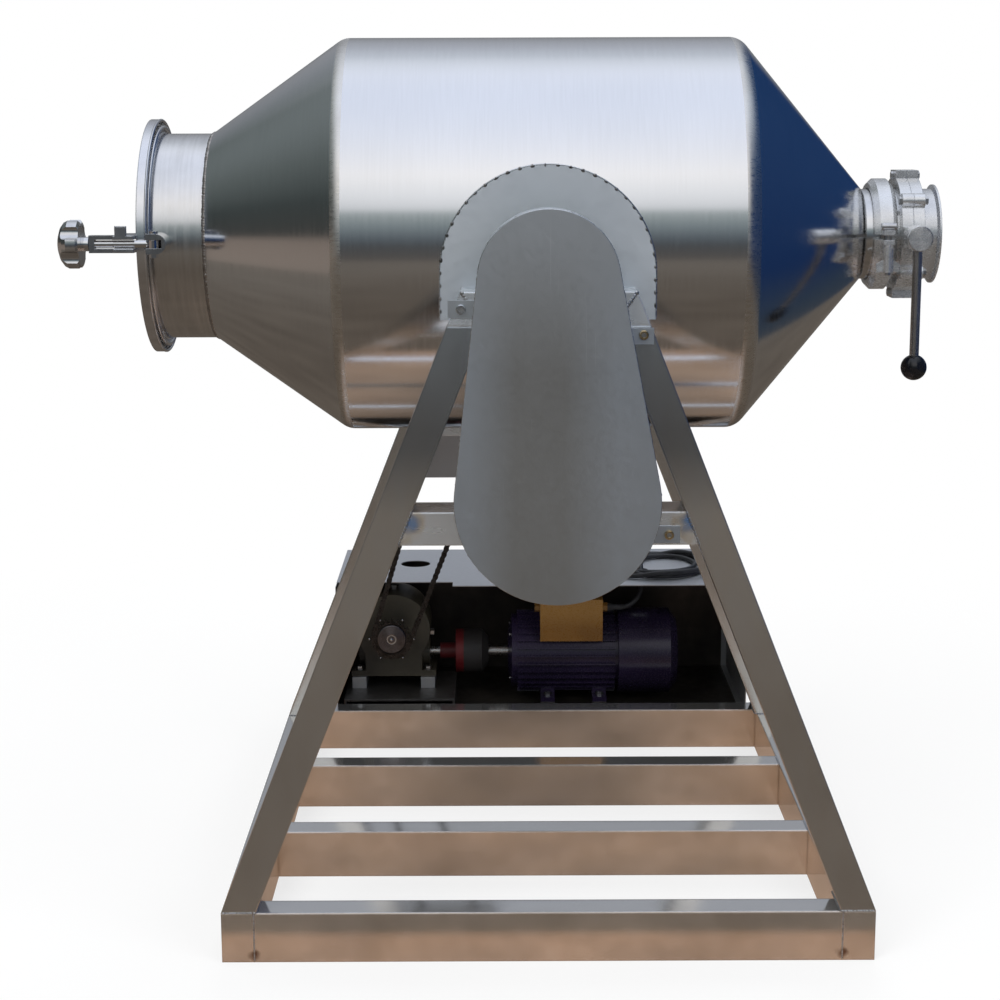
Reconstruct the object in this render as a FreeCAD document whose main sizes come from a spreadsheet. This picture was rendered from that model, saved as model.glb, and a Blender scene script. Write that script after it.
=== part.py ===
import FreeCAD, Part
import math
import os
import re
import Sketcher
from FreeCAD import Placement, Rotation, Vector

# Tumbler blender: a stainless drum that turns end over end between two A-frames.
# Millimetres, +Z up, the floor at z = 0. Every piece is drawn in machine coordinates, with
# X along the drum and Y along the trunnions, both counted from the drum's middle. The whole
# machine is then moved so that its origin is under the middle of its outline.

doc = FreeCAD.newDocument("tumbler_blender")
sheet = doc.addObject("Spreadsheet::Sheet", "Sizes")

DRIVING_SIZES = [
    ("axis_height", 1080, "drum axis above the floor"),
    ("running_gap", 0.3, "gap between pieces that move past each other"),
    ("shaft_fit", 0.05, "radial play of a turning shaft in its bore"),
    # base and A-frames, all from one rectangular tube
    ("base_half_width", 503, "half the base's width"),
    ("base_half_depth", 557, "half the base's depth"),
    ("top_half_width", 128.4, "half the top bar's length, at its top"),
    ("tube_narrow", 50, "narrow side of the frame tube"),
    ("tube_wide", 80, "wide side of the frame tube"),
    ("tube_wall", 3, "wall of the frame tube"),
    ("crossbar_drop", 374, "drum axis down to the top of the crossbar"),
    # bearings
    ("bearing_rise", 49.2, "top bar up to the drum axis"),
    ("housing_foot_length", 184, "bearing housing foot"),
    ("housing_foot_depth", 54, "bearing housing foot"),
    ("housing_foot_height", 18, "bearing housing foot"),
    ("housing_radius", 52, "bearing housing round top"),
    ("housing_width", 34, "bearing housing round top"),
    ("bearing_outer_radius", 40, "outer ring outside"),
    ("race_outer_radius", 36, "outer ring inside"),
    ("race_inner_radius", 24, "inner ring outside"),
    ("ball_radius", 5.8, "bearing ball"),
    ("outer_ring_width", 21, "outer ring"),
    ("inner_ring_width", 49, "inner ring"),
    ("bearing_bolt_spacing", 137, "bearing housing bolts"),
    ("bearing_bolt_radius", 6, "bearing housing bolts"),
    # drum
    ("drum_radius", 330, "drum cylinder outside"),
    ("drum_half_length", 330, "drum cylinder"),
    ("drum_wall", 4, "drum sheet"),
    ("neck_radius", 173, "loading neck outside"),
    ("neck_start", 555, "loading neck's root"),
    ("neck_end", 650, "loading neck's mouth"),
    ("mouth_flange_radius", 187, "loading neck's flange"),
    ("mouth_flange_thickness", 8, "loading neck's flange"),
    ("pipe_radius", 76.2, "discharge pipe outside"),
    ("pipe_bore_radius", 73.4, "discharge pipe inside"),
    ("pipe_start", 545, "discharge cone's small end"),
    ("lip_radius", 83.5, "ferrule lip"),
    ("lip_thickness", 6.4, "ferrule lip"),
    ("clamp_x", 576, "valve clamp's middle"),
    # trunnions
    ("boss_radius", 85, "trunnion boss"),
    ("shoulder_radius", 30, "trunnion between boss and bearing"),
    ("shaft_radius", 20, "trunnion in its bearing"),
    # lid and its swing clamps
    ("lid_radius", 197, "lid skirt outside"),
    ("lid_wall", 4, "lid sheet"),
    ("lid_face_x", 659, "lid's outer face"),
    ("skirt_edge_x", 644, "lid skirt's open edge"),
    ("gasket_inner_radius", 172, "lid gasket"),
    ("gasket_outer_radius", 190, "lid gasket"),
    ("pin_x", 628, "clamp hinge pin"),
    ("bolt_y", 211, "clamp bolt's axis"),
    ("bolt_radius", 6, "clamp bolt"),
    ("pin_radius", 4, "clamp hinge pin"),
    ("eye_radius", 11, "clamp bolt's eye"),
    ("eye_half_height", 6.5, "clamp bolt's eye"),
    ("clevis_half_height", 16.5, "clevis block"),
    ("clevis_outer_y", 222, "clevis block's outer face"),
    ("clevis_left_x", 640, "clevis block's open end"),
    ("clevis_right_x", 607, "clevis block's round end"),
    ("lug_end_x", 693, "lid lug's seat for the yoke"),
    ("lug_root_y", 150, "lid lug's root"),
    ("lug_tip_y", 220, "lid lug's tip"),
    ("lug_gap_half", 7, "half the slot between a lug's plates"),
    ("lug_thickness", 7, "lid lug plate"),
    ("yoke_length", 38, "yoke over its arms"),
    ("yoke_back", 9, "yoke's back"),
    ("yoke_half_width", 8, "yoke"),
    ("knob_hub_radius", 11.5, "star knob's hub"),
    ("knob_hub_length", 12, "star knob's hub"),
    ("knob_radius", 40, "star knob"),
    ("knob_thickness", 36, "star knob"),
    ("bolt_tip_margin", 14, "star knob's outer face beyond the bolt's end"),
    ("rear_clamp_slack", 5, "how far the open clamp's knob is turned back"),
    ("rear_clamp_open_angle", 100, "open clamp's turn away from the lid"),
    # butterfly valve
    ("valve_x", 620, "valve disc's plane"),
    ("valve_half_length", 19, "valve body's half length"),
    ("valve_radius", 97, "valve body"),
    ("valve_lug_height", 108, "valve body's flat lugs"),
    ("valve_lug_half_width", 24, "valve body's flat lugs"),
    ("valve_bolt_circle", 99, "valve body bolts"),
    ("valve_bolt_radius", 4, "valve body bolts"),
    ("seat_outer_radius", 87, "valve's rubber seat"),
    ("seat_half_width", 9, "valve's rubber seat"),
    ("disc_half_thickness", 4, "valve disc"),
    ("stem_radius", 8, "valve stem"),
    ("outlet_end_x", 670, "discharge outlet's face"),
    ("outlet_step_x", 645, "where the discharge outlet narrows, clear of the open disc"),
    ("outlet_bore_radius", 71.8, "discharge outlet inside, past its step"),
    ("hub_radius", 21, "valve handle hub"),
    ("hub_inner_y", 110, "valve handle hub"),
    ("hub_outer_y", 152, "valve handle hub"),
    ("handle_y", 131, "valve handle rod's axis"),
    ("handle_radius", 7.8, "valve handle rod"),
    ("ball_centre_drop", 214, "drum axis down to the handle ball"),
    ("handle_ball_radius", 21.5, "valve handle ball"),
    ("clamp_outer_radius", 94, "valve clamp"),
    ("clamp_inner_radius", 78, "valve clamp"),
    ("clamp_half_width", 19, "valve clamp"),
    ("clamp_split", 4, "half the gap between the clamp's halves"),
    ("clamp_lug", 8, "valve clamp's lugs"),
    ("clamp_bolt_tail", 50, "clamp bolt below its lower lug"),
    ("wing_nut_height", 46, "valve clamp's wing nut"),
    ("clamp_bolt_y", 106, "valve clamp's bolt"),
    ("clamp_bolt_radius", 5, "valve clamp's bolt"),
    # guards
    ("plate", 2, "guard sheet"),
    ("shroud_radius", 161, "half-round shroud"),
    ("shroud_centre_drop", 30, "drum axis down to the shroud's centre"),
    ("shroud_foot_drop", 98, "drum axis down to the shroud's lower edge"),
    ("shroud_depth", 50, "shroud rim"),
    ("guard_depth", 63, "front guard's depth in front of the legs"),
    ("guard_top_radius", 102, "front guard's upper round"),
    ("guard_low_radius", 150, "front guard's lower round"),
    ("guard_top_drop", 30, "drum axis down to the upper round's centre"),
    ("guard_low_drop", 350, "drum axis down to the lower round's centre"),
    ("guard_top_shift", -2, "upper round's centre to the right"),
    ("guard_low_shift", 11, "lower round's centre to the right"),
    ("guard_bolt_radius", 4, "guard bolts"),
    ("chain_guard_top_radius", 112, "chain guard's upper round"),
    ("chain_guard_low_radius", 78, "chain guard's lower half width"),
    ("chain_guard_drop", 524, "drum axis down to the chain guard's open end"),
    # chain drive
    ("chain_pitch", 12.7, "chain"),
    ("drum_sprocket_teeth", 38, "sprocket on the drum"),
    ("drive_sprocket_teeth", 19, "sprocket on the gearbox"),
    ("drive_axis_height", 206.3, "gearbox's output shaft above the floor"),
    ("sprocket_shift", 298, "gearbox shaft to the left of the drum's middle"),
    ("tooth_width", 7.2, "sprocket teeth"),
    ("roller_radius", 3.6, "chain roller"),
    ("tooth_height", 2.2, "sprocket teeth above the chain's line"),
    ("link_half_height", 5.9, "chain plate"),
    ("link_thickness", 3, "pair of chain plates on one side"),
    # gearbox
    ("centre_distance", 60, "worm below the wheel"),
    ("wheel_case_radius", 78, "gearbox's round case"),
    ("gearbox_half_depth", 60, "gearbox case"),
    ("gearbox_half_width", 60, "gearbox's lower case"),
    ("gearbox_foot_half", 90, "gearbox's feet"),
    ("worm_case_radius", 31, "worm's case"),
    ("worm_case_left", 75, "worm's case"),
    ("worm_case_right", 76, "worm's case"),
    ("gearbox_wall", 8, "gearbox casting"),
    ("output_shaft_radius", 15, "gearbox output shaft"),
    ("worm_shaft_radius", 9, "worm shaft"),
    ("worm_radius", 12, "worm over its thread"),
    ("channel_top", 82, "gearbox's channel above the floor"),
    # motor
    ("motor_left_x", -54, "motor's front end shield"),
    ("motor_shell_right_x", 180, "motor shell"),
    ("motor_right_x", 307, "motor's fan cover"),
    ("motor_radius", 80, "motor shell"),
    ("fin_height", 8, "motor's cooling fins"),
    ("fan_cover_radius", 92, "motor's fan cover"),
    ("motor_shaft_radius", 12, "motor shaft"),
    ("motor_foot_spread", 70, "half the motor feet's spacing"),
    ("coupling_left_x", -200, "coupling"),
    ("coupling_middle_x", -149, "coupling's joint"),
    ("coupling_right_x", -96, "coupling"),
    ("coupling_radius", 47, "coupling flanges"),
    # drive housing
    ("cover_height", 315, "housing's top above the floor"),
    ("pan_height", 44, "housing's floor above the floor"),
    ("housing_left_x", -415, "drive housing"),
    ("housing_right_x", 448, "drive housing"),
    ("notch_right_x", -170, "notch for the chain in the housing's top"),
    ("access_hole_radius", 32, "hole in the housing's top"),
    ("access_hole_x", -255, "hole in the housing's top"),
    # power cable
    ("cable_radius", 5, "power cable"),
    ("cable_exit_x", 233, "power cable's way up through the housing's top"),
    ("coil_x", 262, "middle of the cable's loose turns"),
    ("coil_inner_radius", 62, "free middle of the cable's loose turns"),
    ("coil_outer_radius", 150, "cable's loose turns"),
    ("coil_height", 34, "cable's loose turns, laid over each other"),
]
FOLLOWING_SIZES = [
    ("leg_lean", "(base_half_width - top_half_width) / (axis_height - bearing_rise - tube_wide)",
     "sideways run of a leg for each millimetre of height"),
    ("bearing_y", "base_half_depth - tube_wide / 2", "bearing's middle, over the top bar's middle"),
    ("boss_end", "drum_radius + 15", "trunnion boss's outer face"),
    ("shoulder_end", "bearing_y - 26", "trunnion shoulder"),
    ("front_shaft_end", "bearing_y + 31", "front trunnion's end"),
    ("rear_shaft_end", "bearing_y + 115", "rear trunnion's end"),
    ("chain_y", "base_half_depth + 53", "chain's plane"),
    ("chain_guard_end_y", "chain_y + 35", "chain guard's rear face"),
    ("gearbox_y", "chain_y + 125", "gearbox's and motor's middle"),
    ("housing_front_y", "base_half_depth + 62", "drive housing"),
    ("housing_rear_y", "housing_front_y + 357", "drive housing"),
    ("notch_y", "housing_front_y + 36", "notch for the chain in the housing's top"),
    ("access_hole_y", "housing_front_y + 211", "hole in the housing's top"),
    ("cable_exit_y", "gearbox_y + 21", "power cable's way up through the housing's top"),
    ("coil_y", "gearbox_y + 55", "middle of the cable's loose turns"),
]
for row, (alias, value, meaning) in enumerate(DRIVING_SIZES + FOLLOWING_SIZES, start=1):
    sheet.set(f"A{row}", meaning)
    sheet.set(f"B{row}", f"={value}" if isinstance(value, str) else str(value))
    sheet.setAlias(f"B{row}", alias)
doc.recompute()

WORDS_OF_FORMULAS = "sin|cos|tan|asin|sqrt|max|min"
ALIAS = re.compile(rf"\b(?!(?:{WORDS_OF_FORMULAS})\b)[a-z][a-z_]+\b")


def size(alias):
    """The present value of one cell."""
    return float(sheet.get(alias))


def link(item, prop, formula):
    """Bind a property to a formula in the sheet's aliases."""
    item.setExpression(prop, ALIAS.sub(r"Sizes.\g<0>", str(formula)))


# Turns the local Z axis of a primitive to X, Y or Z.
TURN = {
    "X": Rotation(Vector(0, 1, 0), 90),
    "Y": Rotation(Vector(1, 0, 0), -90),
    "Z": Rotation(),
}


def put(item, x, y, z):
    """Bind an item's position, leaving its rotation."""
    for letter, formula in zip("xyz", (x, y, z)):
        link(item, f"Placement.Base.{letter}", formula)


def start_point(along, start, across):
    """The x, y, z of a start value along one axis and two values across it."""
    first, second = across
    return {"X": (start, first, second), "Y": (first, start, second), "Z": (first, second, start)}[along]


def box(name, x, y, z):
    """A box from its two limits along each axis."""
    item = doc.addObject("Part::Box", name)
    for prop, (low, high) in zip(("Length", "Width", "Height"), (x, y, z)):
        link(item, prop, f"({high}) - ({low})")
    put(item, x[0], y[0], z[0])
    return item


def cylinder(name, radius, along, span, across=("0", "0")):
    """A cylinder between two values along one axis."""
    item = doc.addObject("Part::Cylinder", name)
    item.Placement = Placement(Vector(), TURN[along])
    link(item, "Radius", radius)
    link(item, "Height", f"({span[1]}) - ({span[0]})")
    put(item, *start_point(along, span[0], across))
    return item


def ball(name, radius, x, y, z):
    item = doc.addObject("Part::Sphere", name)
    link(item, "Radius", radius)
    put(item, x, y, z)
    return item


def fuse(name, *parts):
    item = doc.addObject("Part::MultiFuse", name)
    item.Shapes = list(parts)
    return item


def cut(name, base, *tools):
    item = doc.addObject("Part::Cut", name)
    item.Base = base
    item.Tool = tools[0] if len(tools) == 1 else fuse(f"{name}_tools", *tools)
    return item


def common(name, first, second):
    item = doc.addObject("Part::Common", name)
    item.Base = first
    item.Tool = second
    return item


def tube(name, outer, inner, along, span, across=("0", "0")):
    """A round tube between two values along one axis."""
    outside = cylinder(f"{name}_outside", outer, along, span, across)
    inside = cylinder(f"{name}_inside", inner, along, span, across)
    return cut(name, outside, inside)


def new_body(name):
    return doc.addObject("PartDesign::Body", name)


def new_sketch(body, plane, name="Profile"):
    """A sketch on one of the body's own origin planes."""
    sketch = body.newObject("Sketcher::SketchObject", f"{body.Name}_{name}")
    face = next(item for item in body.Origin.OriginFeatures if item.Role == plane)
    sketch.AttachmentSupport = (face, "")
    sketch.MapMode = "FlatFace"
    return sketch


def outline(sketch, corners):
    """A closed outline of straight edges, each corner bound to two formulas."""
    count = len(corners)
    rough = [Vector(10 * math.cos(2 * math.pi * k / count), 10 * math.sin(2 * math.pi * k / count), 0)
             for k in range(count)]
    for k in range(count):
        sketch.addGeometry(Part.LineSegment(rough[k], rough[(k + 1) % count]), False)
    for k in range(count):
        sketch.addConstraint(Sketcher.Constraint("Coincident", k, 2, (k + 1) % count, 1))
    for k, pair in enumerate(corners):
        for kind, formula, value in zip(("DistanceX", "DistanceY"), pair, rough[k]):
            number = sketch.addConstraint(Sketcher.Constraint(kind, -1, 1, k, 1, value))
            link(sketch, f"Constraints[{number}]", formula)


def turned(name, profile, along="X", across=("0", "0")):
    """A turned piece: a profile of (place along the axis, radius) corners, revolved."""
    body = new_body(name)
    sketch = new_sketch(body, "XZ_Plane" if along == "Z" else "XY_Plane")
    along_first = along == "X"
    outline(sketch, [pair if along_first else (pair[1], pair[0]) for pair in profile])
    revolution = body.newObject("PartDesign::Revolution", f"{name}_turned")
    revolution.Profile = sketch
    revolution.ReferenceAxis = (sketch, ["H_Axis" if along_first else "V_Axis"])
    revolution.Angle = 360
    put(body, *start_point(along, "0", across))
    return body


PLANE_ACROSS = {"X": "YZ_Plane", "Y": "XZ_Plane", "Z": "XY_Plane"}


def pad(body, sketch, length):
    feature = body.newObject("PartDesign::Pad", f"{sketch.Name}_Pad")
    feature.Profile = sketch
    link(feature, "Length", length)
    return feature


def extruded(name, corners, along, span):
    """A prism whose outline lies across one axis. A pad on the XZ plane grows towards -Y."""
    body = new_body(name)
    sketch = new_sketch(body, PLANE_ACROSS[along])
    outline(sketch, corners)
    pad(body, sketch, f"({span[1]}) - ({span[0]})")
    put(body, *start_point(along, span[1] if along == "Y" else span[0], ("0", "0")))
    return body


def belt_outline(sketch, big, small, distance, rough):
    """Two rounds joined by their tangents: the big one at the origin, the small one along X."""
    big_now, small_now, distance_now = rough
    tilt = math.asin((big_now - small_now) / distance_now)
    side = Vector(math.sin(tilt), math.cos(tilt), 0)
    far = Vector(distance_now, 0, 0)
    mirror = Vector(side.x, -side.y, 0)
    angle = math.pi / 2 - tilt
    axis = Vector(0, 0, 1)
    sketch.addGeometry(Part.ArcOfCircle(Part.Circle(Vector(), axis, big_now), angle, 2 * math.pi - angle))
    sketch.addGeometry(Part.LineSegment(mirror * big_now, far + mirror * small_now))
    sketch.addGeometry(Part.ArcOfCircle(Part.Circle(far, axis, small_now), -angle, angle))
    sketch.addGeometry(Part.LineSegment(far + side * small_now, side * big_now))
    for first, first_end, second, second_end in ((0, 2, 1, 1), (1, 2, 2, 1), (2, 2, 3, 1), (3, 2, 0, 1)):
        sketch.addConstraint(Sketcher.Constraint("Tangent", first, first_end, second, second_end))
    sketch.addConstraint(Sketcher.Constraint("Coincident", 0, 3, -1, 1))
    sketch.addConstraint(Sketcher.Constraint("PointOnObject", 2, 3, -1))
    for constraint, formula in (
        (Sketcher.Constraint("Radius", 0, big_now), big),
        (Sketcher.Constraint("Radius", 2, small_now), small),
        (Sketcher.Constraint("DistanceX", -1, 1, 2, 3, distance_now), distance),
    ):
        number = sketch.addConstraint(constraint)
        link(sketch, f"Constraints[{number}]", formula)


def belt_prism(name, big, small, distance, rough, thickness, place):
    """A padded two-round outline, placed by its big round's centre."""
    body = new_body(name)
    sketch = new_sketch(body, "XY_Plane")
    belt_outline(sketch, big, small, distance, rough)
    pad(body, sketch, thickness)
    body.Placement = place
    return body


NODES = []


def node(label, *parts):
    """One named piece, or one group of like pieces, moved with the whole machine."""
    item = doc.addObject("Part::Compound", f"Node_{label}")
    item.Links = list(parts)
    item.Label = label
    put(item, MOVE_X, MOVE_Y, "0")
    NODES.append(item)
    return item


# Outline of the whole machine, from which the origin under its middle follows.
knob_face_x = "lug_end_x + running_gap + yoke_length + running_gap + knob_hub_length + knob_thickness"
MOVE_X = f"(({knob_face_x}) - outlet_end_x) / 2"
MOVE_Y = "(base_half_depth + guard_depth - housing_rear_y) / 2"

# Heights above the floor that many pieces share.
rail_top = "tube_wide"
bar_top = "axis_height - bearing_rise"
bar_bottom = "axis_height - bearing_rise - tube_narrow"
crossbar_top = "axis_height - crossbar_drop"
crossbar_bottom = "axis_height - crossbar_drop - tube_narrow"
leg_span_x = "tube_narrow * sqrt(1 + leg_lean * leg_lean)"
leg_wall_x = "tube_wall * sqrt(1 + leg_lean * leg_lean)"
frame_inner_y = "base_half_depth - tube_wide"


def leg_outer_x(height):
    """Outer face of a leg at a height."""
    return f"base_half_width - leg_lean * (({height}) - tube_wide)"


def hollow(name, make, inset):
    """A tube made as an outer prism less an inner one."""
    return cut(name, make(f"{name}_outside", "0"), make(f"{name}_inside", inset))


def base_rails():
    low, high = "0", rail_top

    def side_rail(name, side):
        outer, inner = ("base_half_width", "base_half_width - tube_narrow")
        edges = (inner, outer) if side > 0 else (f"-({outer})", f"-({inner})")

        def prism(part, inset):
            return box(part, (f"{edges[0]} + ({inset})", f"{edges[1]} - ({inset})"),
                       (f"-base_half_depth + ({inset})", f"base_half_depth - ({inset})"),
                       (f"{low} + ({inset})", f"{high} - ({inset})"))

        return hollow(name, prism, "tube_wall")

    def cross_rail(name, number):
        front = f"-base_half_depth + {number} * (2 * base_half_depth - tube_narrow) / 3"
        end = "base_half_width - tube_narrow"

        def prism(part, inset):
            return box(part, (f"-({end})", end),
                       (f"{front} + ({inset})", f"{front} + tube_narrow - ({inset})"),
                       (f"{low} + ({inset})", f"{high} - ({inset})"))

        return hollow(name, prism, "tube_wall")

    node("base_side_rails", side_rail("left_rail", -1), side_rail("right_rail", 1))
    node("base_cross_rails", *[cross_rail(f"cross_rail_{k}", k) for k in range(4)])


def on_leg(side, drop, inset):
    """X of a place on the front frame, in from a leg's outer face, at a drop below the drum axis."""
    return f"{side} * (({leg_outer_x(f'(axis_height - {drop})')}) - ({inset}))"


# Bolts of the front guard: X and drop below the drum axis.
GUARD_BOLTS = ((on_leg(-1, 74, 10), "74"), (on_leg(1, 112, 16), "112"), (on_leg(1, 408, 92), "408"))
# Its tabs: word, X limits from the guard's side to past the bolt, and drops below the drum axis.
GUARD_TABS = (
    ("left", (on_leg(-1, 74, -9), "-105"), ("87", "61")),
    ("right", ("106", on_leg(1, 112, 1)), ("126", "102")),
    ("lower", ("145", on_leg(1, 408, 76)), ("421", "395")),
)


def a_frames():
    def leg(name, side, depth):
        def prism(part, inset):
            wall = leg_wall_x if inset != "0" else "0"
            outer = [f"({leg_outer_x(z)}) - ({wall})" for z in (rail_top, bar_bottom)]
            inner = [f"({leg_outer_x(z)}) - ({leg_span_x}) + ({wall})" for z in (rail_top, bar_bottom)]
            corners = [(outer[0], rail_top), (outer[1], bar_bottom), (inner[1], bar_bottom),
                       (inner[0], rail_top)]
            if side < 0:
                corners = [(f"-({x})", z) for x, z in corners]
            return extruded(part, corners, "Y", (f"{depth[0]} + ({inset})", f"{depth[1]} - ({inset})"))

        return hollow(name, prism, "tube_wall")

    def bar(name, low, high, depth, x_at):
        """A bar whose ends are cut on the legs' slope."""
        def prism(part, inset):
            bottom, top = f"{low} + ({inset})", f"{high} - ({inset})"
            corners = [(f"-({x_at(bottom)})", bottom), (x_at(bottom), bottom),
                       (x_at(top), top), (f"-({x_at(top)})", top)]
            return extruded(part, corners, "Y", (f"{depth[0]} + ({inset})", f"{depth[1]} - ({inset})"))

        return hollow(name, prism, "tube_wall")

    def between_legs(height):
        return f"({leg_outer_x(height)}) - ({leg_span_x})"

    front = ("-base_half_depth", f"-({frame_inner_y})")
    rear = (frame_inner_y, "base_half_depth")
    front_holes = {k: cylinder(f"frame_hole_{k}", "guard_bolt_radius", "Y",
                               ("-base_half_depth - 1", "-base_half_depth + tube_wall + 1"),
                               (x, f"axis_height - {drop}")) for k, (x, drop) in enumerate(GUARD_BOLTS)}
    node("front_legs", leg("front_left_leg", -1, front),
         cut("front_right_leg_drilled", leg("front_right_leg", 1, front), front_holes[1]))
    node("rear_legs", leg("rear_left_leg", -1, rear), leg("rear_right_leg", 1, rear))
    node("frame_crossbars",
         cut("front_crossbar_drilled",
             bar("front_crossbar", crossbar_bottom, crossbar_top, front, between_legs),
             front_holes[2]),
         bar("rear_crossbar", crossbar_bottom, crossbar_top, rear, between_legs))
    bolt_holes = {word: [cylinder(f"{word}_bar_hole_{k}", "bearing_bolt_radius", "Z",
                                  (f"{bar_top} - tube_wall - 1", f"{bar_top} + 1"),
                                  (f"{k} * bearing_bolt_spacing / 2", f"({sign}bearing_y)")) for k in (-1, 1)]
                  for word, sign in (("front", "-"), ("rear", ""))}
    node("frame_top_bars",
         cut("front_top_bar_drilled", bar("front_top_bar", bar_bottom, bar_top, front, leg_outer_x),
             front_holes[0], *bolt_holes["front"]),
         cut("rear_top_bar_drilled", bar("rear_top_bar", bar_bottom, bar_top, rear, leg_outer_x),
             *bolt_holes["rear"]))


def bolt_with_nut(name, radius, x, y, low, high, head="high"):
    """A hexagon bolt along Z with its washer, head and nut as one solid outside the clamped parts."""
    across = (x, y)
    shank = cylinder(f"{name}_shank", f"{radius} - running_gap", "Z", (low, high), across)
    top = hexagon(f"{name}_head", f"1.7 * {radius}", "Z", (high, f"{high} + 1.3 * {radius}"), across)
    foot = hexagon(f"{name}_nut", f"1.7 * {radius}", "Z", (f"{low} - 1.3 * {radius}", low), across)
    return fuse(name, shank, top, foot)


def hexagon(name, radius, along, span, across):
    """A hexagonal prism between two values along one axis."""
    item = doc.addObject("Part::Prism", name)
    item.Placement = Placement(Vector(), TURN[along])
    item.Polygon = 6
    link(item, "Circumradius", radius)
    link(item, "Height", f"({span[1]}) - ({span[0]})")
    put(item, *start_point(along, span[0], across))
    return item


def bearings():
    housings, outer_rings, inner_rings, balls, bolts = [], [], [], [], []
    ball_count = 9
    for word, sign in (("front", "-"), ("rear", "")):
        y = f"({sign}bearing_y)"
        span = (f"{y} - housing_width / 2", f"{y} + housing_width / 2")
        axis = ("0", "axis_height")
        foot_y = (f"{y} - housing_foot_depth / 2", f"{y} + housing_foot_depth / 2")
        foot_top = f"{bar_top} + housing_foot_height"
        foot = box(f"{word}_foot", ("-housing_foot_length / 2", "housing_foot_length / 2"), foot_y,
                   (bar_top, foot_top))
        waist = box(f"{word}_waist", ("-housing_radius", "housing_radius"), span, (bar_top, "axis_height"))
        crown = cylinder(f"{word}_crown", "housing_radius", "Y", span, axis)
        bore = cylinder(f"{word}_bore", "bearing_outer_radius", "Y", foot_y, axis)
        holes = [cylinder(f"{word}_hole_{k}", "bearing_bolt_radius", "Z",
                          (f"{bar_top} - 1", f"{foot_top} + 1"),
                          (f"{k} * bearing_bolt_spacing / 2", y)) for k in (-1, 1)]
        block = fuse(f"{word}_block", foot, waist, crown)
        below = box(f"{word}_below_foot", ("-housing_radius", "housing_radius"), foot_y,
                    (f"{bar_top} - 20", bar_top))
        housings.append(cut(f"{word}_housing", block, bore, below, *holes))
        outer_rings.append(tube(f"{word}_outer_ring", "bearing_outer_radius", "race_outer_radius", "Y",
                                (f"{y} - outer_ring_width / 2", f"{y} + outer_ring_width / 2"), axis))
        inner_rings.append(tube(f"{word}_inner_ring", "race_inner_radius", "shaft_radius", "Y",
                                (f"{y} - inner_ring_width / 2", f"{y} + inner_ring_width / 2"), axis))
        for k in range(ball_count):
            angle = 2 * math.pi * k / ball_count
            circle = "(race_inner_radius + race_outer_radius) / 2"
            balls.append(ball(f"{word}_ball_{k}", "ball_radius", f"{circle} * {math.cos(angle):.5f}", y,
                              f"axis_height + {circle} * {math.sin(angle):.5f}"))
        for k in (-1, 1):
            bolts.append(bolt_with_nut(f"{word}_bearing_bolt_{k + 1}", "bearing_bolt_radius",
                                       f"{k} * bearing_bolt_spacing / 2", y, f"{bar_top} - tube_wall",
                                       foot_top))
    node("bearing_housings", *housings)
    node("bearing_outer_rings", *outer_rings)
    node("bearing_inner_rings", *inner_rings)
    node("bearing_balls", *balls)
    return bolts


def drum_shell():
    axis = ("0", "axis_height")
    node("drum_cylinder", tube("drum_barrel", "drum_radius", "drum_radius - drum_wall", "X",
                               ("-drum_half_length", "drum_half_length"), axis))
    node("loading_cone", turned("loading_cone_wall", [
        ("-drum_half_length", "drum_radius"), ("-drum_half_length", "drum_radius - drum_wall"),
        ("-neck_start", "neck_radius - drum_wall"), ("-neck_start", "neck_radius")], "X", axis))
    node("discharge_cone", turned("discharge_cone_wall", [
        ("drum_half_length", "drum_radius - drum_wall"), ("drum_half_length", "drum_radius"),
        ("pipe_start", "pipe_radius"), ("pipe_start", "pipe_bore_radius")], "X", axis))
    node("loading_neck", turned("loading_neck_wall", [
        ("-neck_start", "neck_radius - drum_wall"), ("-neck_start", "neck_radius"),
        ("-neck_end + mouth_flange_thickness", "neck_radius"),
        ("-neck_end + mouth_flange_thickness", "mouth_flange_radius"),
        ("-neck_end", "mouth_flange_radius"), ("-neck_end", "neck_radius - drum_wall")], "X", axis))
    node("discharge_ferrule", ferrule("inlet_ferrule", "pipe_start", "clamp_x", 1))


def ferrule(name, root, face, side, bore="pipe_bore_radius"):
    """A pipe stub with a lip at its face. Side says which way along X the face looks."""
    lip = f"{face} - ({side}) * lip_thickness"
    bevel = f"{face} - ({side}) * lip_thickness / 2"
    return turned(name, [
        (root, bore), (root, "pipe_radius"), (lip, "pipe_radius"), (bevel, "lip_radius"),
        (face, "lip_radius"), (face, bore)], "X", ("0", "axis_height"))


def trunnions():
    axis = ("0", "axis_height")
    pieces = []
    for word, side, end in (("front", "-", "front_shaft_end"), ("rear", "", "rear_shaft_end")):
        def reach(value):
            return f"{side}({value})"

        def spread(low, high):
            return (reach(high), reach(low)) if side else (low, high)

        blank = cylinder(f"{word}_boss_blank", "boss_radius", "Y", spread("drum_radius - 40", "boss_end"),
                         axis)
        drum = cylinder(f"{word}_boss_seat", "drum_radius", "X", ("-boss_radius - 5", "boss_radius + 5"),
                        axis)
        boss = cut(f"{word}_boss", blank, drum)
        shoulder = cylinder(f"{word}_shoulder", "shoulder_radius", "Y",
                            spread("drum_radius + 5", "shoulder_end"), axis)
        shaft = cylinder(f"{word}_shaft", "shaft_radius", "Y", spread("shoulder_end - 5", end), axis)
        pieces.append(fuse(f"{word}_trunnion", boss, shoulder, shaft))
    node("trunnions", *pieces)


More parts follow.
